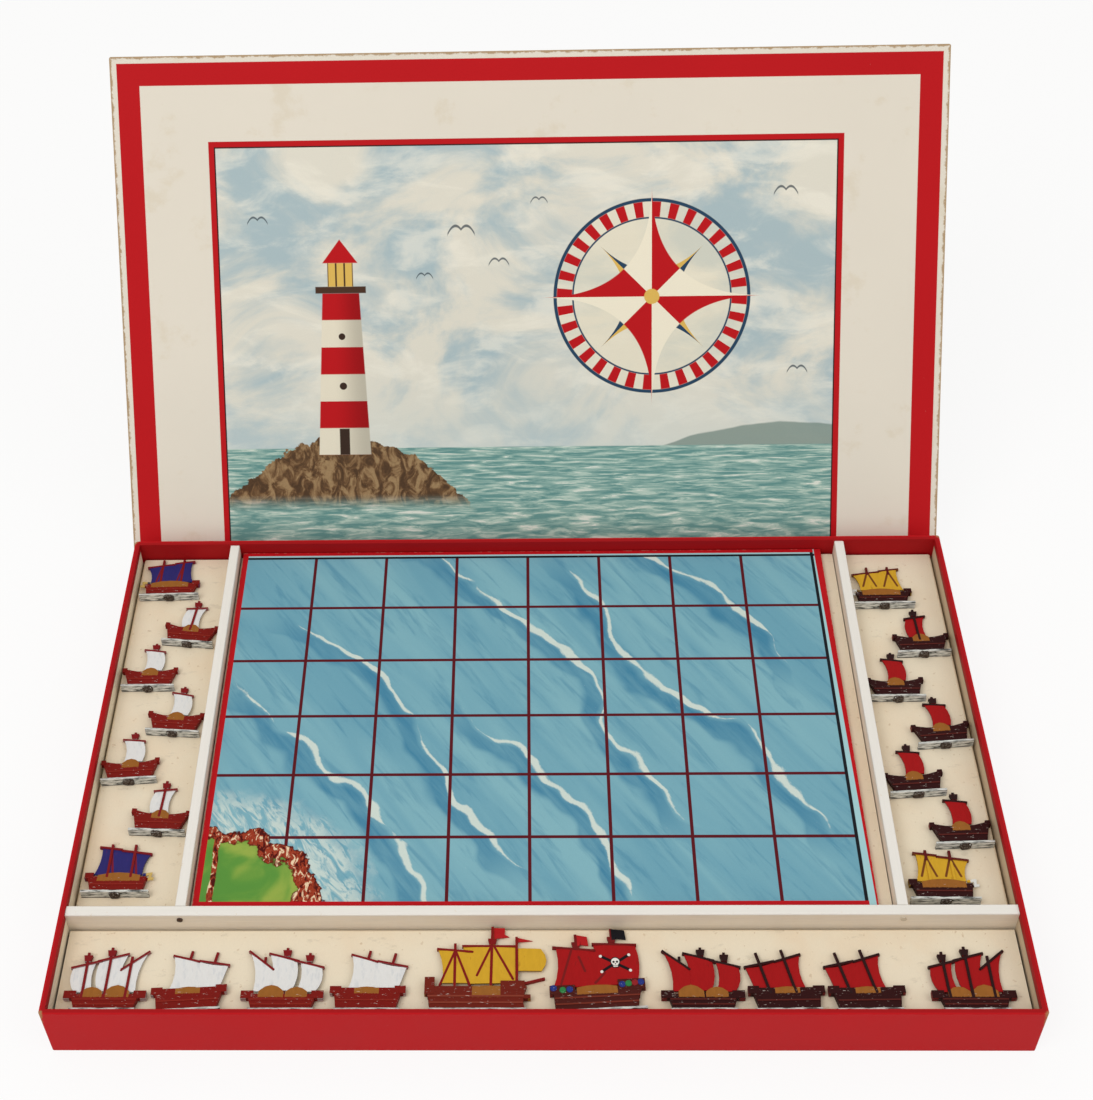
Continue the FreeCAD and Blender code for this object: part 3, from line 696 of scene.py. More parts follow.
def compass_rose(sheet, lid, base, x, v):
    """An eight-pointed rose: two four-pointed stars, each half light and half dark, in two rings."""
    dx = x - ROSE[0]
    dy = v - ROSE[1]
    away = sheet.vector("LENGTH", sheet.flat(dx, dy))
    (inner, outer), (_, scale), _ = ROSE_RINGS
    tick = (sheet.calc("ARCTAN2", dy, dx) * (ROSE_TICKS / math.pi) % 2.0).above(1.0, 0.05)
    base = sheet.layers(
        base,
        ("e9dfc4", away.below(outer, 0.4) * 0.55),
        ("27435c", any_of([away.between(*ring, 0.25) for ring in ROSE_RINGS])),
        (lid.red, tick & away.between(scale, inner, 0.25)),
    )
    cross = ((dx - dy) * 0.7071, (dx + dy) * 0.7071, 44.0, "27435c", lid.gold)
    upright = (dx, dy, 66.0, lid.red, "efe6cf")
    for a, b, reach, dark, light in (cross, upright):
        wide, tall = abs(a), abs(b)
        star = (sheet.calc("SQRT", wide) + sheet.calc("SQRT", tall)).below(math.sqrt(reach), 0.06)
        half = abs((a * b).above(0.0, 0.2) - (wide - tall).above(0.0, 0.2))
        base = sheet.mix(base, sheet.mix(light, dark, half), star)
    return sheet.mix(base, lid.gold, away.below(4.5, 0.3))


def gulls(sheet, base, x, v):
    """Gulls as pairs of bowed wings: height falls from a hump on each side of the body."""
    flock = []
    for middle, height, span in GULLS:
        wing = abs(x - middle) / span
        lift = (wing - wing * wing) * (span * 1.7) - wing * (span * 0.35)
        flock.append(abs(v - height - lift).below(span * 0.1, 0.25) & wing.below(1.0, 0.05))
    return sheet.mix(base, "3f4a52", any_of(flock) * 0.85)


def grown(box, left, front, right, back):
    """A box moved out on each side."""
    return box[0] - left, box[1] - front, box[2] + right, box[3] + back


def lid_picture(sheet, lid, x, v, mottle):
    """A sea with a far hill, a light tower, a compass rose and gulls."""
    base = painted_sky(sheet, lid, v)
    base = gulls(sheet, base, x, v)
    base = compass_rose(sheet, lid, base, x, v)
    hills = hump(x - HILLS_X, 74.0, 16.0) + 72.0 + (mottle - 0.5) * 12.0
    base = sheet.mix(base, "7d8f86", (hills - v).above(0.0, 0.6) * 0.85)
    base = painted_sea(sheet, lid, base, x, v)
    return tower(sheet, lid, base, x, v)


def lid_sheet(lid, paper):
    """The printed sheet: worn edge, red band, cream field and a framed picture."""
    sheet = Sheet("lid_sheet")
    x, v, _ = sheet.place(LID_PLACE, LID_TURN)
    edge = (LID_HALF - abs(x)) & (LID_TALL - v) & v * 1.3
    mottle = sheet.noise(0.012, 4.0)
    grain = sheet.noise(1.5, 3.0)
    stain = sheet.noise(0.03, 5.0, 0.65).above(0.62, 0.06)
    rub = sheet.noise(0.25, 6.0, 0.7)
    worn = (edge + rub * 5.0).below(3.6, 0.5)
    nick = rub.above(0.72, 0.02) & sheet.noise(0.02, 2.0).above(0.5, 0.1)
    crease = sheet.noise(0.06, 2.0, squeeze=(0.03, 1.0, 1.0))
    red = sheet.shade(lid.red, 0.92 + mottle * 0.12 + grain * 0.05)
    picture = sheet.shade(lid_picture(sheet, lid, x, v, mottle), 0.95 + grain * 0.1)
    base = sheet.layers(
        sheet.shade(lid.cream, 0.95 + mottle * 0.07 + grain * 0.03),
        ("cdbb98", stain * 0.25),
        (red, edge.between(*BAND, 0.2)),
        (red, sheet.oblong(x, v, grown(PICTURE, 3.2, 2.0, 3.2, 3.2), 0.2)),
        ("3a1a1a", sheet.oblong(x, v, PICTURE, 0.15)),
        (picture, sheet.oblong(x, v, grown(PICTURE, -0.8, -0.8, -0.8, -0.8), 0.15)),
        (paper.kraft, worn * 0.85),
        ("efe8d8", nick * 0.5),
    )
    return sheet.finish(base, 0.5 + mottle * 0.1 + worn * 0.2, grain * 0.4 + crease, 0.00006)


def lid_paper(lid, paper):
    """Pale covering paper with brown, rubbed edges."""
    sheet = Sheet("lid_paper")
    _, _, z = sheet.place(LID_PLACE, LID_TURN)
    rub = sheet.noise(0.3, 6.0, 0.7)
    grain = sheet.noise(2.0, 3.0)
    base = sheet.shade(lid.side, 0.9 + grain * 0.08 + sheet.noise(0.02, 3.0) * 0.12)
    front = (rub * 2.4 - z).below(1.5, 0.5)
    back = (z + LID_DEEP + rub * 2.2).below(1.3, 0.4)
    base = sheet.mix(base, paper.kraft, (front | back) * 0.85)
    return sheet.finish(base, 0.7, grain, 0.00005)


class FLEET_OT_lid(bpy.types.Operator):
    """Print the lid's sheet and cover its walls"""

    bl_idname = "fleet_case.lid"
    bl_label = "Lid"

    def execute(self, context):
        lid, paper = context.scene.fleet_lid, context.scene.fleet_paper
        dress(lid_sheet(lid, paper), "lid_print")
        dress(lid_paper(lid, paper), "lid_wrap")
        dress(bpy.data.materials[PLAIN_BOARD], "lid_top", *["lid_%s_wall" % side for side in SIDES])
        return {"FINISHED"}


# Ships. Lengths on a ship are in millimetres: x along the stand, h above it, and z towards the front

STAND_T = 1.2
STAND_HALF = 2.6
TOP_HALF = 1.0
CARD_TOP = 23.8
SPAR_W = 1.4
YARD_W = 1.2
TOP_W, TOP_H = 2.3, 3.4
SLITS = ((-16.6, 13.0, -10.6, 13.0), (-2.8, 12.9, 8.4, 12.9))
SLIT_W = 1.3
SAIL_SIDE_SHADE = (-0.14, 0.4)
SAIL_FACE = (0.4, 0.9)
HULL_RELIEF = 1.3
DECK_RELIEF = 1.45
WALE_RELIEF = 1.6
GALLERY_X = -14.3
GALLERY_H = (6.6, 12.4)
BRICK_TRIM, MAROON_TRIM = "8c2a1f", "5f2620"
GRIME_AND_SHADE = "1f1c19"
FLAG_PAINT = {"flag_red": "b01f22", "flag_black": "17161a"}
SKULL = (9.2, 24.3)
SKULL_HOLES = (((-0.85, 0.7), 0.6), ((0.85, 0.7), 0.6), ((0.0, -0.4), 0.35))
BONE = (7.0, 4.2)
FRONT_ROW = -145.20
UP = 1
DOWN = -1

COG = {
    "sheer": (-15.4, 12.0, 15.0, 12.4, 2.4), "proud": False,
    "castles": ((13.0, 10.4, 15.6, 13.0), (-16.0, 10.0, -13.4, 12.6)),
    "decks": ((-4.6, 4.6, 7.4, 10.6, 2.6),),
    "yards": ((-6.0, 26.8, 6.6, 25.0),),
    "masts": ((0.6, 9.0, 0.4, 31.8),),
    "tops": ((0.4, 26.8),),
}
TRADER = {
    "sheer": (-15.0, 8.8, 15.8, 9.4, 1.0), "proud": True,
    "castles": ((12.6, 7.6, 17.0, 11.0),),
    "decks": ((-11.6, 10.4, 6.2, 9.8, 1.6),),
    "yards": ((-15.6, 22.8, 0.2, 25.0), (0.2, 25.6, 12.4, 27.2)),
    "masts": ((-6.6, 9.0, -6.4, 28.6), (5.6, 9.0, 5.8, 28.8)),
    "tops": (),
}
CARAVEL = {
    "sheer": (-16.8, 11.4, 16.8, 11.4, 0.0), "proud": False,
    "castles": ((-18.6, 8.4, -13.0, 12.2), (13.0, 8.4, 18.4, 12.4)),
    "decks": ((-6.6, 5.4, 8.4, 11.2, 0.9),),
    "yards": ((-9.4, 29.8, 3.8, 25.8), (3.8, 26.2, 19.0, 23.0)),
    "masts": ((-4.8, 9.0, 0.0, 32.2), (7.6, 9.0, 12.6, 30.8)),
    "tops": (),
}
CARRACK = {
    "sheer": (-17.0, 8.0, 16.8, 8.0, 0.0), "proud": False,
    "castles": ((-20.2, 5.8, -14.0, 9.8), (14.2, 5.8, 20.2, 9.8)),
    "decks": ((-11.8, 0.6, 6.4, 9.6, 3.4), (1.4, 12.2, 6.4, 9.4, 2.6)),
    "yards": ((-18.6, 31.8, -5.6, 21.6), (-8.6, 30.4, 6.8, 26.2), (4.8, 26.4, 19.4, 22.6)),
    "masts": ((-10.0, 6.4, -10.2, 28.8), (0.4, 6.4, 0.4, 33.8), (11.4, 6.4, 11.8, 31.0)),
    "tops": ((0.4, 28.8), (11.8, 26.0)),
}
GREAT_YELLOW = {
    "sheer": (-25.0, 12.2, 23.8, 12.2, 0.0), "proud": True,
    "castles": ((-26.0, 8.0, -21.2, 17.0), (11.0, 10.0, 22.8, 15.0), (21.4, 5.6, 25.6, 7.6)),
    "decks": ((-2.8, 11.0, 6.4, 12.0, 0.6),),
    "yards": ((-20.6, 32.6, -3.0, 31.0), (-8.2, 34.2, 18.6, 34.0)),
    "masts": ((-11.4, 10.4, -11.6, 35.6), (6.2, 10.4, 6.8, 44.9), (19.0, 10.4, 18.8, 39.2)),
    "tops": ((6.8, 34.8),),
    "ropes": (
        (-11.6, 31.4, -18.8, 12.8), (-11.2, 31.4, -4.0, 12.8), (6.0, 33.4, -0.6, 18.2),
        (8.0, 33.4, 17.0, 16.4), (22.0, 13.8, 32.6, 16.6),
    ),
    "flags": ((7.5, 38.2, 15.4, 44.8, "flag_red"), (19.5, 36.4, 27.0, 39.4, "flag_red")),
}
GREAT_RED = {
    "sheer": (-22.2, 11.0, 21.6, 11.8, 1.6), "proud": False,
    "castles": ((-24.0, 8.8, -11.6, 13.4), (9.4, 10.0, 22.6, 15.2)),
    "decks": ((-10.8, 9.0, 8.2, 12.0, 1.0),),
    "yards": ((-21.2, 34.6, -0.4, 31.8), (-1.6, 35.4, 20.4, 33.8)),
    "masts": ((-9.4, 9.6, -9.4, 41.4), (8.4, 9.6, 8.4, 43.6)),
    "tops": ((-9.4, 33.4), (8.4, 35.4)),
    "flags": ((-8.7, 34.6, -3.0, 41.4, "flag_red"), (8.5, 37.0, 15.8, 43.8, "flag_black")),
}

FLEET = {
    "blue_trader_2": (TRADER, "blue", -216.11, -81.20, 0.0, DOWN),
    "white_cog_5": (COG, "white", -199.87, -45.21, -2.3, DOWN),
    "white_cog_4": (COG, "white", -219.76, -13.11, 3.2, UP),
    "white_cog_3": (COG, "white", -200.57, 18.00, -4.0, UP),
    "white_cog_2": (COG, "white", -218.88, 48.75, 0.0, UP),
    "white_cog_1": (COG, "white", -200.80, 80.27, -5.6, DOWN),
    "blue_trader_1": (TRADER, "blue", -216.16, 115.17, 1.2, UP),
    "yellow_trader_2": (TRADER, "yellow", 204.28, -85.98, -0.5, DOWN),
    "red_cog_5": (COG, "red", 219.71, -53.97, 1.6, UP),
    "red_cog_4": (COG, "red", 200.90, -22.95, 3.6, UP),
    "red_cog_3": (COG, "red", 220.71, 8.25, 4.4, UP),
    "red_cog_2": (COG, "red", 200.07, 39.06, 0.0, UP),
    "red_cog_1": (COG, "red", 219.39, 69.97, 2.0, DOWN),
    "yellow_trader_1": (TRADER, "yellow", 202.39, 105.37, 0.3, UP),
    "white_carrack_1": (CARRACK, "white", -211.80, FRONT_ROW, 0.0, DOWN),
    "white_caravel_1": (CARAVEL, "white", -170.22, FRONT_ROW, 3.0, UP),
    "white_carrack_2": (CARRACK, "white", -125.05, FRONT_ROW, 0.0, UP),
    "white_caravel_2": (CARAVEL, "white", -83.35, FRONT_ROW, 0.0, UP),
    "yellow_flagship": (GREAT_YELLOW, "gold", -29.84, FRONT_ROW, 0.0, UP),
    "red_flagship": (GREAT_RED, "pirate", 29.59, FRONT_ROW, 3.0, UP),
    "red_carrack_1": (CARRACK, "red", 79.06, FRONT_ROW, 0.0, UP),
    "red_caravel_1": (CARAVEL, "red", 119.42, FRONT_ROW, 0.8, DOWN),
    "red_caravel_2": (CARAVEL, "red", 158.04, FRONT_ROW, 0.8, DOWN),
    "red_carrack_2": (CARRACK, "red", 208.90, FRONT_ROW, 0.0, DOWN),
}


def berth(name):
    """The place and turn of a ship that lies on its card."""
    shape, _, x, y, turn, face = FLEET[name]
    head = STAND_T + max(mast[3] for mast in shape["masts"])
    tilt = math.atan2(STAND_HALF - TOP_HALF, head)
    rise = CARD_TOP + STAND_HALF * math.cos(tilt) + STAND_T * math.sin(tilt)
    turned = (-tilt, 0.0, math.radians(turn)) if face == UP else (tilt, math.pi, math.radians(turn))
    return (x * MM, y * MM, rise * MM), turned


def liveries(fleet):
    """Paints of each squadron: hull, sail, spars, trim and gallery."""
    return {
        "white": (fleet.brick, fleet.white_sail, fleet.dark_red, BRICK_TRIM, fleet.tin),
        "blue": (fleet.brick, fleet.blue_sail, fleet.dark_red, BRICK_TRIM, "c9ab63"),
        "yellow": (fleet.maroon, fleet.yellow_sail, "5c1a1a", MAROON_TRIM, fleet.tin),
        "red": (fleet.maroon, fleet.red_sail, fleet.black, MAROON_TRIM, fleet.tin),
        "gold": ("6c2116", fleet.yellow_sail, "7d1718", "8a4030", fleet.tin),
        "pirate": ("4a1a15", fleet.red_sail, "6e1a1a", "7a3325", fleet.tin),
    }


def painted_lines(livery, shape):
    """Brush strokes on the sails that stand for stays and shrouds."""
    if livery == "yellow":
        return [(m[2], 25.0, m[2] + side * 3.8, 13.6) for m in shape["masts"] for side in (-1, 1)]
    if livery == "blue":
        return [(m[2], 25.0, m[2] - 2.6, 11.4) for m in shape["masts"]]
    if livery == "pirate":
        return [(-12.0, 32.2, -18.1, 14.4), (-8.5, 28.6, -6.0, 20.8), (3.6, 19.4, -1.4, 14.4)]
    return []


def skull(sheet, base, x, h):
    """A white skull outlined in black on crossed black bones with white knobs, from circles and strokes."""
    x, h = x - SKULL[0], h - SKULL[1]
    spot = sheet.flat(x, h)
    dark, pale = "141014", "e6e2da"
    far, high = BONE
    bones = [sheet.stroke(spot, (-far, -high * lean, far, high * lean), 1.5) for lean in (-1, 1)]
    knobs = [sheet.disc(x, h, (end, tip), 0.75) for end in (-far, far) for tip in (-high, high)]
    base = sheet.layers(base, (dark, any_of(bones)), (pale, any_of(knobs)))
    for paint, grow in ((dark, 0.5), (pale, 0.0)):
        jaw = sheet.oblong(x, h, (-1.1 - grow, -2.0 - grow, 1.1 + grow, 0.2))
        base = sheet.mix(base, paint, sheet.disc(x, h, (0.0, 0.8), 2.0 + grow) | jaw)
    holes = [sheet.disc(x, h, *hole) for hole in SKULL_HOLES]
    mouth = sheet.stroke(spot, (-1.0, -1.4, 1.0, -1.4), 0.25)
    return sheet.mix(base, dark, any_of([*holes, mouth]))


def bow(part, crown):
    """The height of a parabola over the parts of its length, with its crown in the middle."""
    return part * (1.0 - part) * (4.0 * crown)


def tin_stand(sheet, fleet, front):
    """Bare tin with grey and black streaks, and painted shade under its edge."""
    streak = sheet.noise(1.1, 4.0, 0.65, squeeze=(0.12, 1.0, 1.0))
    return sheet.layers(
        fleet.tin,
        ("8d918c", streak.above(0.47, 0.06) * 0.6),
        (GRIME_AND_SHADE, streak.above(0.56, 0.03) * 0.85),
        # Painted shade: the black streaks thicken along the stand's lower edge
        (GRIME_AND_SHADE, (front.below(-1.9, 0.5) & streak.above(0.43, 0.05)) * 0.8),
    )


def ship_paint(fleet, name):
    """Enamel by region, from the sails to the decks, over a tin stand, with random chips."""
    shape, livery, *_, face = FLEET[name]
    hull_paint, sail_paint, spar_paint, trim, gallery = liveries(fleet)[livery]
    sheet = Sheet("paint_" + name)
    x, y, z = sheet.place(*berth(name))
    h = y - STAND_T
    relief = abs(z)
    plan = sheet.flat(x, h)
    brush = sheet.noise(0.42, 4.0, 0.6, squeeze=(1.0, 0.3, 0.2))
    fine = sheet.noise(1.3, 3.0)

    def strokes(lines, width, soft=0.12):
        return [sheet.stroke(plan, line, width, soft) for line in lines]

    grey = ("aeb4ba", brush.above(0.57, 0.09) * 0.35)
    bare = (hull_paint, brush.above(0.66, 0.05) * 0.35)
    base = sheet.layers(
        sheet.shade(sail_paint, 0.82 + brush * 0.28 + fine * 0.06),
        grey if livery == "white" else bare,
        # Painted shade: a dark line on the sails' side faces, round their edges
        ("4a3a34", z.between(*SAIL_SIDE_SHADE, 0.03) * 0.8),
    )
    lines = painted_lines(livery, shape)
    if lines:
        base = sheet.mix(base, spar_paint, any_of(strokes(lines, 1.2, 0.25)) * 0.9)
    if livery == "pirate":
        base = skull(sheet, base, x, h)
    if livery == "gold":
        base = sheet.mix(base, "e6dcc8", any_of(strokes(SLITS, SLIT_W)))
    over = strokes(shape["yards"] + shape.get("ropes", ()), YARD_W)
    over += [sheet.oblong(x, h, (a - TOP_W, foot, a + TOP_W, foot + TOP_H)) for a, foot in shape["tops"]]
    masts = any_of(strokes(shape["masts"], SPAR_W))
    if not shape["proud"]:
        masts = masts & (1.0 - z.between(*SAIL_FACE, 0.03))
    if livery == "yellow":
        masts = masts & h.above(22.5)
    base = sheet.mix(base, sheet.shade(spar_paint, 0.8 + fine * 0.4), any_of(over) | masts)
    for *box, paint in shape.get("flags", ()):
        base = sheet.mix(base, FLAG_PAINT[paint], sheet.oblong(x, h, box))
    if shape is TRADER:
        base = sheet.mix(base, gallery, x.below(GALLERY_X) & h.between(*GALLERY_H))
    x0, h0, x1, h1, dip = shape["sheer"]
    along = (x - x0) / (x1 - x0)
    sheer = along * (h1 - h0) + h0 - bow(along, dip)
    hull = (sheer - h).above(0.05, 0.05) & x.between(x0 - 0.6, x1 + 0.6)
    castles = any_of([sheet.oblong(x, h, box) for box in shape["castles"]])
    body = hull | castles | relief.above(HULL_RELIEF, 0.03)
    wood = sheet.shade(hull_paint, 0.76 + fine * 0.5)
    wood = sheet.mix(wood, trim, relief.above(WALE_RELIEF, 0.02) * 0.8)
    base = sheet.mix(base, wood, body)
    wobble = (fine - 0.5) * 1.2
    planks = sheet.shade(fleet.ochre, 0.8 + brush * 0.4)
    for a, b, foot, side, crown in shape["decks"]:
        top = bow((x - a) / (b - a), crown) + side
        mound = x.between(a, b, 0.15) & (top - h).above(-0.05, 0.05) & (h + wobble).above(foot, 0.25)
        base = sheet.mix(base, planks, mound & relief.below(DECK_RELIEF, 0.02))
    chip = sheet.noise(0.95, 4.0, 0.6, squeeze=(0.34, 2.1, 1.0)).above(0.67, 0.02) & body
    stand = h.below(0.03, 0.03)
    base = sheet.layers(
        base,
        (spar_paint, masts & z.below(-0.5) & h.above(6.0)),
        ("d8cec4", chip * 0.75),
        (tin_stand(sheet, fleet, z * face), stand),
    )
    shine = 0.42 + fine * 0.15 + chip * 0.2
    return sheet.finish(base, shine, brush * 0.6 + fine * 0.4, 0.00012, stand * 0.25)


class FLEET_OT_ships(bpy.types.Operator):
    """Paint the cast ships"""

    bl_idname = "fleet_case.ships"
    bl_label = "Ships"

    def execute(self, context):
        for name in FLEET:
            dress(ship_paint(context.scene.fleet_ships, name), name)
        return {"FINISHED"}


# Small cast details

def closed_grid(rings, foot, head):
    """Points and faces of a shell: rings of points around an axis, closed by one point at each end."""
    rows, columns, _ = rings.shape
    points = np.vstack([foot[None, :], rings.reshape(-1, 3), head[None, :]])
    index = 1 + np.arange(rows * columns).reshape(rows, columns)
    ahead = np.roll(index, -1, axis=1)
    quads = np.stack([index[:-1], ahead[:-1], ahead[1:], index[1:]], axis=-1).reshape(-1, 4)
    first = np.stack([np.zeros(columns, int), ahead[0], index[0]], axis=-1)
    last = np.stack([np.full(columns, rows * columns + 1), index[-1], ahead[-1]], axis=-1)
    return points, quads.tolist() + first.tolist() + last.tolist()


def on_ship(points, name):
    """Points of a ship's own frame, in millimetres, taken to where the ship lies."""
    where, turned = berth(name)
    about_x, about_y, about_z = (Matrix.Rotation(turn, 3, axis) for turn, axis in zip(turned, "XYZ"))
    return points * MM @ np.array(about_z @ about_y @ about_x).T + np.array(where)


def add_piece(name, points, faces, material, body):
    """A new mesh object at the origin that rides on a body."""
    mesh = bpy.data.meshes.new(name)
    mesh.from_pydata(points.tolist(), [], faces)
    mesh.materials.append(material)
    mesh.shade_smooth()
    made = bpy.data.objects.new(name, mesh)
    bpy.context.scene.collection.objects.link(made)
    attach(made, body)
    return made


def squared(value):
    """A sine or cosine pushed towards its ends, which squares off a circle."""
    return np.sign(value) * np.abs(value) ** 0.55


def turn_of(columns):
    """Even angles round an axis, as a row."""
    return np.linspace(0.0, 2 * math.pi, columns, endpoint=False)[None, :]


LUMP_ROWS, LUMP_COLUMNS = 11, 22
LUMP_LAST = 1.32
LUMP_HALF_Y, LUMP_HALF_Z = 1.15, 2.5
LUMP_MIDDLE, LUMP_TIP = 0.05, 2.55


def lump_surface(width, seed):
    """A blunt ellipsoid with squared-off angles, roughened by three sine ripples that differ by seed."""
    lat = np.linspace(-LUMP_LAST, LUMP_LAST, LUMP_ROWS)[:, None]
    lon = turn_of(LUMP_COLUMNS)
    ripple = 1.0 + 0.05 * np.sin(3 * lon + seed) + 0.05 * np.sin(2 * lon - 4 * lat + 2 * seed)
    ripple = ripple + 0.03 * np.sin(7 * lon + 5 * lat)
    x = width / 2 * squared(np.cos(lat) * np.cos(lon)) * ripple
    y = LUMP_MIDDLE + LUMP_HALF_Y * squared(np.cos(lat) * np.sin(lon)) * ripple
    z = LUMP_HALF_Z * squared(np.sin(lat)) * np.ones_like(lon) * ripple
    ends = [np.array([0.0, LUMP_MIDDLE, tip]) for tip in (-LUMP_TIP, LUMP_TIP)]
    return closed_grid(np.stack([x, y, z], axis=-1), *ends)


def lump_metal(fleet):
    """Rough, darkened casting metal."""
    sheet = Sheet("stub_metal")
    sheet.place()
    pit = sheet.noise(1.1, 5.0, 0.7)
    base = sheet.mix(fleet.lump, "8f887f", pit.above(0.56, 0.1) * 0.7)
    base = sheet.mix(base, "2c231c", pit.below(0.4, 0.06) * 0.7)
    return sheet.finish(base, 0.6 + pit * 0.2, pit, 0.0003, 0.4 - pit * 0.2)


class FLEET_OT_stubs(bpy.types.Operator):
    """Add the rough casting stub in the middle of each stand"""

    bl_idname = "fleet_case.stubs"
    bl_label = "Casting stubs"

    def execute(self, context):
        fleet = context.scene.fleet_ships
        material = lump_metal(fleet)
        for seed, name in enumerate(FLEET):
            points, faces = lump_surface(fleet.lump_width / MM, 1.7 * seed)
            add_piece(name + "_stub", on_ship(points, name), faces, material, name)
        return {"FINISHED"}


# Shields: place along, height above the stand and paint
SHIELDS = (
    (-22.1, 12.0, "27357e"), (-17.6, 10.8, "2f7d43"), (-14.2, 11.0, "27357e"),
    (11.4, 12.4, "27357e"), (14.5, 12.7, "2f7d43"), (17.6, 13.0, "8e2226"), (20.6, 13.2, "27357e"),
)
SHIELD_FRONT = 1.45
SHIELD_COLUMNS = 20
SHIELD_RINGS = ((1.0, 0.0), (1.0, 0.25), (0.8, 0.42), (0.5, 0.56), (0.25, 0.64))
SHIELD_CROWN = 0.68


def shield_surface(radius):
    """A shallow dome over a flat back, through rings of a share of the radius and a height."""
    ring, height = np.array(SHIELD_RINGS).T[:, :, None]
    around = turn_of(SHIELD_COLUMNS)
    x = radius * ring * np.cos(around)
    y = radius * ring * np.sin(around)
    z = height * np.ones_like(around)
    return closed_grid(np.stack([x, y, z], axis=-1), np.zeros(3), np.array([0.0, 0.0, SHIELD_CROWN]))


def shield_enamel():
    """Enamel in the shield's own colour with pale specks."""
    sheet = Sheet("shield_enamel")
    sheet.place()
    own = sheet.node("ShaderNodeAttribute", {"attribute_name": "shield_colour"}).outputs["Color"]
    speck = sheet.noise(1.4, 4.0, 0.7)
    base = sheet.mix(sheet.shade(own, 0.75 + speck * 0.5), "cfd3d0", speck.above(0.66, 0.02) * 0.7)
    return sheet.finish(base, 0.35 + speck * 0.2, speck, 0.0001)


class FLEET_OT_shields(bpy.types.Operator):
    """Add the round shields along the red flagship's castles"""

    bl_idname = "fleet_case.shields"
    bl_label = "Shields"

    def execute(self, context):
        ship = "red_flagship"
        dome, faces = shield_surface(context.scene.fleet_ships.shield / MM / 2)
        count = len(dome)
        places = np.array([(x, h + STAND_T, SHIELD_FRONT) for x, h, _ in SHIELDS])
        points = on_ship((dome[None, :, :] + places[:, None, :]).reshape(-1, 3), ship)
        every = [[i + count * k for i in face] for k in range(len(SHIELDS)) for face in faces]
        made = add_piece(ship + "_shields", points, every, shield_enamel(), ship)
        paints = np.repeat(np.array([(*ink(code), 1.0) for *_, code in SHIELDS]), count, axis=0)
        layer = made.data.color_attributes.new("shield_colour", "FLOAT_COLOR", "POINT")
        layer.data.foreach_set("color", paints.astype(np.float32).ravel())
        return {"FINISHED"}


# Stage

FLOOR_Z = -0.0002
# Two distances from the middle, in metres, and the floor's share of white at each
FLOOR_FADE = (0.9, 2.4, 0.86, 1.0)
SKY_TINT = (1.0, 0.99, 0.97)
SHOWN_RAYS = ("Is Camera Ray", "Is Glossy Ray", "Is Transmission Ray")
LAMP_AIM = (0.0, 0.05, 0.05)
KEY_PLACE, KEY_SIZE = (-0.9, -0.9, 1.9), 1.2
FILL_PLACE, FILL_SIZE = (1.3, -0.6, 1.4), 1.4
SENSOR = 36.0
CLIP_START = 0.01


def shown_white(sheet, lit, plain, share=1.0):
    """A lit shader, mixed with a plain white one for the rays that show the background."""
    rays = sheet.node("ShaderNodeLightPath").outputs
    seen = any_of([Val(sheet, rays[kind]) for kind in SHOWN_RAYS])
    return sheet.node("ShaderNodeMixShader", {}, {0: seen * share, 1: lit.outputs[0], 2: plain.outputs[0]})


def lay_floor(stage):
    """A flat square under the case that turns white far away."""
    half = stage.floor_size / 2
    corner = np.array([(-half, -half), (half, -half), (half, half), (-half, half)])
    points = np.column_stack([corner, np.full(4, FLOOR_Z)])
    mesh = bpy.data.meshes.new("floor")
    mesh.from_pydata(points.tolist(), [], [(0, 1, 2, 3)])
    sheet = Sheet("pale_floor")
    away = sheet.vector("LENGTH", sheet.node("ShaderNodeTexCoord").outputs["Object"])
    lit = sheet.node("ShaderNodeBsdfDiffuse", {}, {"Color": stage.floor})
    plain = sheet.node("ShaderNodeEmission")
    white = sheet.ramp(away, *FLOOR_FADE, "LINEAR")
    mesh.materials.append(sheet.show(shown_white(sheet, lit, plain, white)))
    made = bpy.data.objects.new("floor", mesh)
    bpy.context.scene.collection.objects.link(made)


def light_sky(stage):
    """An even sky that shows as white."""
    sheet = Sheet("studio", world=True)
    lit = sheet.node("ShaderNodeBackground", {}, {"Color": SKY_TINT, "Strength": stage.sky_light})
    plain = sheet.node("ShaderNodeBackground", {}, {"Color": (1.0, 1.0, 1.0)})
    bpy.context.scene.world = sheet.show(shown_white(sheet, lit, plain), "ShaderNodeOutputWorld")


def hang_lamp(name, place, size, power):
    """A square soft lamp that looks at the case."""
    lamp = bpy.data.lights.new(name, "AREA")
    lamp.size = size
    lamp.energy = power
    made = bpy.data.objects.new(name, lamp)
    made.location = place
    made.rotation_euler = (Vector(LAMP_AIM) - Vector(place)).to_track_quat("-Z", "Y").to_euler()
    bpy.context.scene.collection.objects.link(made)


def set_camera(stage):
    """A camera from its place, yaw, pitch and roll."""
    turns = ((-stage.yaw, "Z"), (math.pi / 2 - stage.pitch, "X"), (stage.roll, "Z"))
    yaw, pitch, roll = (Matrix.Rotation(turn, 4, axis) for turn, axis in turns)
    data = bpy.data.cameras.new("camera")
    data.lens = stage.lens
    data.sensor_width = SENSOR
    data.shift_x, data.shift_y = stage.shift
    data.clip_start = CLIP_START
    made = bpy.data.objects.new("camera", data)
    made.matrix_world = Matrix.Translation(stage.camera) @ yaw @ pitch @ roll
    bpy.context.scene.collection.objects.link(made)
    bpy.context.scene.camera = made


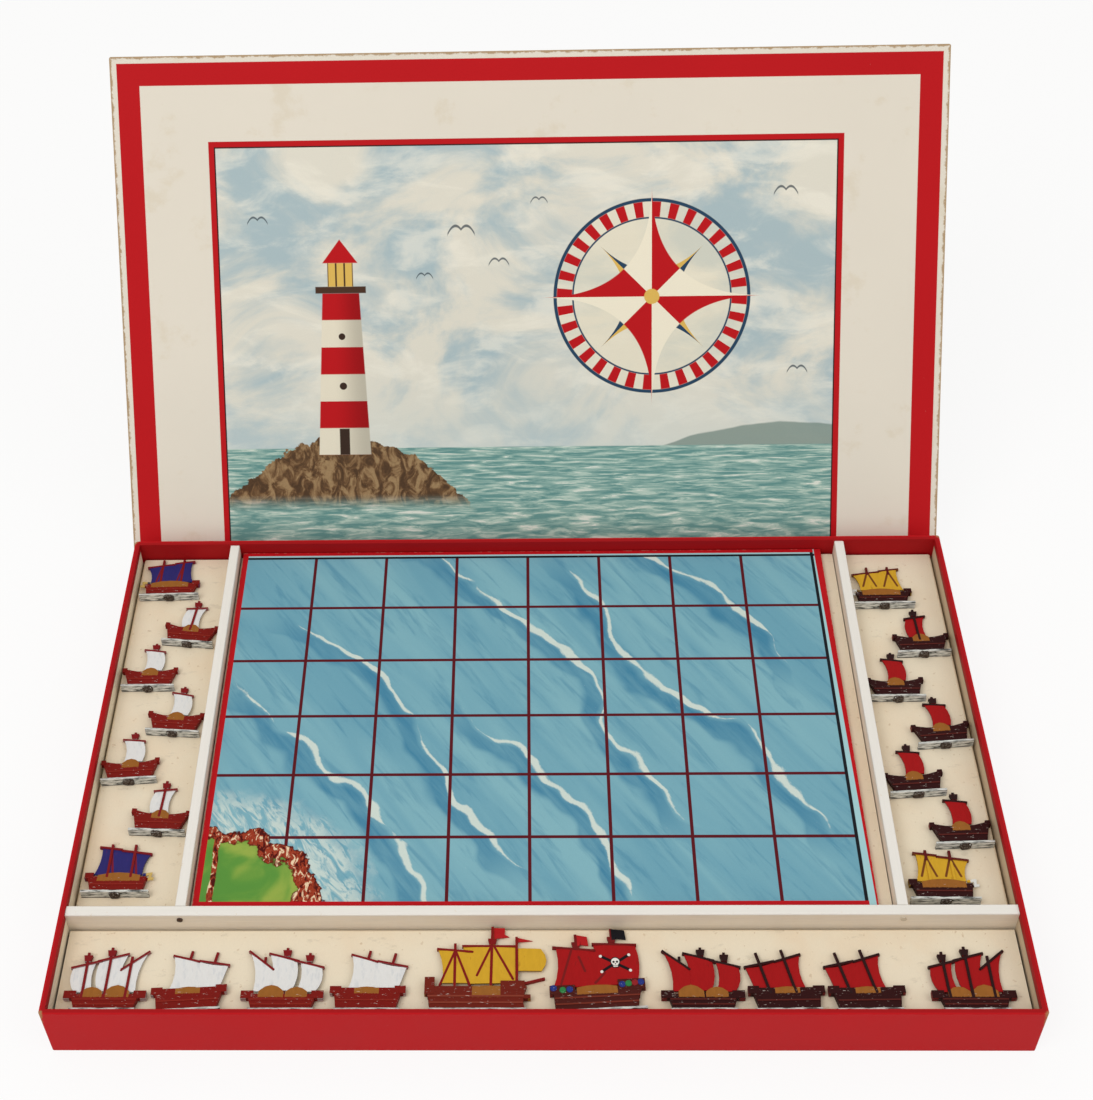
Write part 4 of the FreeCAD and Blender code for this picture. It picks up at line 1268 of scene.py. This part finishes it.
class FLEET_OT_stage(bpy.types.Operator):
    """Lay the floor, hang the lamps and set the camera"""

    bl_idname = "fleet_case.stage"
    bl_label = "Stage"

    def execute(self, context):
        stage = context.scene.fleet_stage
        context.scene.view_settings.view_transform = "Standard"
        lay_floor(stage)
        light_sky(stage)
        hang_lamp("key_lamp", KEY_PLACE, KEY_SIZE, stage.key_light)
        hang_lamp("fill_lamp", FILL_PLACE, FILL_SIZE, stage.fill_light)
        set_camera(stage)
        return {"FINISHED"}


class FLEET_PT_case(bpy.types.Panel):
    """Finishes of the case and the operators that apply them"""

    bl_label = "Fleet guessing case"
    bl_idname = "FLEET_PT_case"
    bl_space_type = "VIEW_3D"
    bl_region_type = "UI"
    bl_category = "Fleet case"

    def draw(self, context):
        for step in OPERATORS:
            self.layout.operator(step.bl_idname)
        for group in GROUPS:
            box = self.layout.box()
            settings = getattr(context.scene, group)
            for key in settings.bl_rna.properties.keys():
                if key not in ("rna_type", "name"):
                    box.prop(settings, key)


GROUPS = {
    "fleet_paper": PaperFinish,
    "fleet_chart": ChartFinish,
    "fleet_lid": LidFinish,
    "fleet_ships": FleetFinish,
    "fleet_stage": StageFinish,
}
OPERATORS = (
    FLEET_OT_stage,
    FLEET_OT_tray,
    FLEET_OT_partitions,
    FLEET_OT_cards,
    FLEET_OT_chart,
    FLEET_OT_lid,
    FLEET_OT_ships,
    FLEET_OT_stubs,
    FLEET_OT_shields,
)


def register():
    for made in (*GROUPS.values(), *OPERATORS, FLEET_PT_case):
        bpy.utils.register_class(made)
    for name, group in GROUPS.items():
        setattr(bpy.types.Scene, name, PointerProperty(type=group))


def unregister():
    for name in GROUPS:
        delattr(bpy.types.Scene, name)
    for made in reversed((*GROUPS.values(), *OPERATORS, FLEET_PT_case)):
        bpy.utils.unregister_class(made)


def main():
    register()
    bpy.ops.fleet_case.stage()
    bpy.ops.fleet_case.tray()
    bpy.ops.fleet_case.partitions()
    bpy.ops.fleet_case.cards()
    bpy.ops.fleet_case.chart()
    bpy.ops.fleet_case.lid()
    bpy.ops.fleet_case.ships()
    bpy.ops.fleet_case.stubs()
    bpy.ops.fleet_case.shields()


if __name__ == "__main__":
    main()
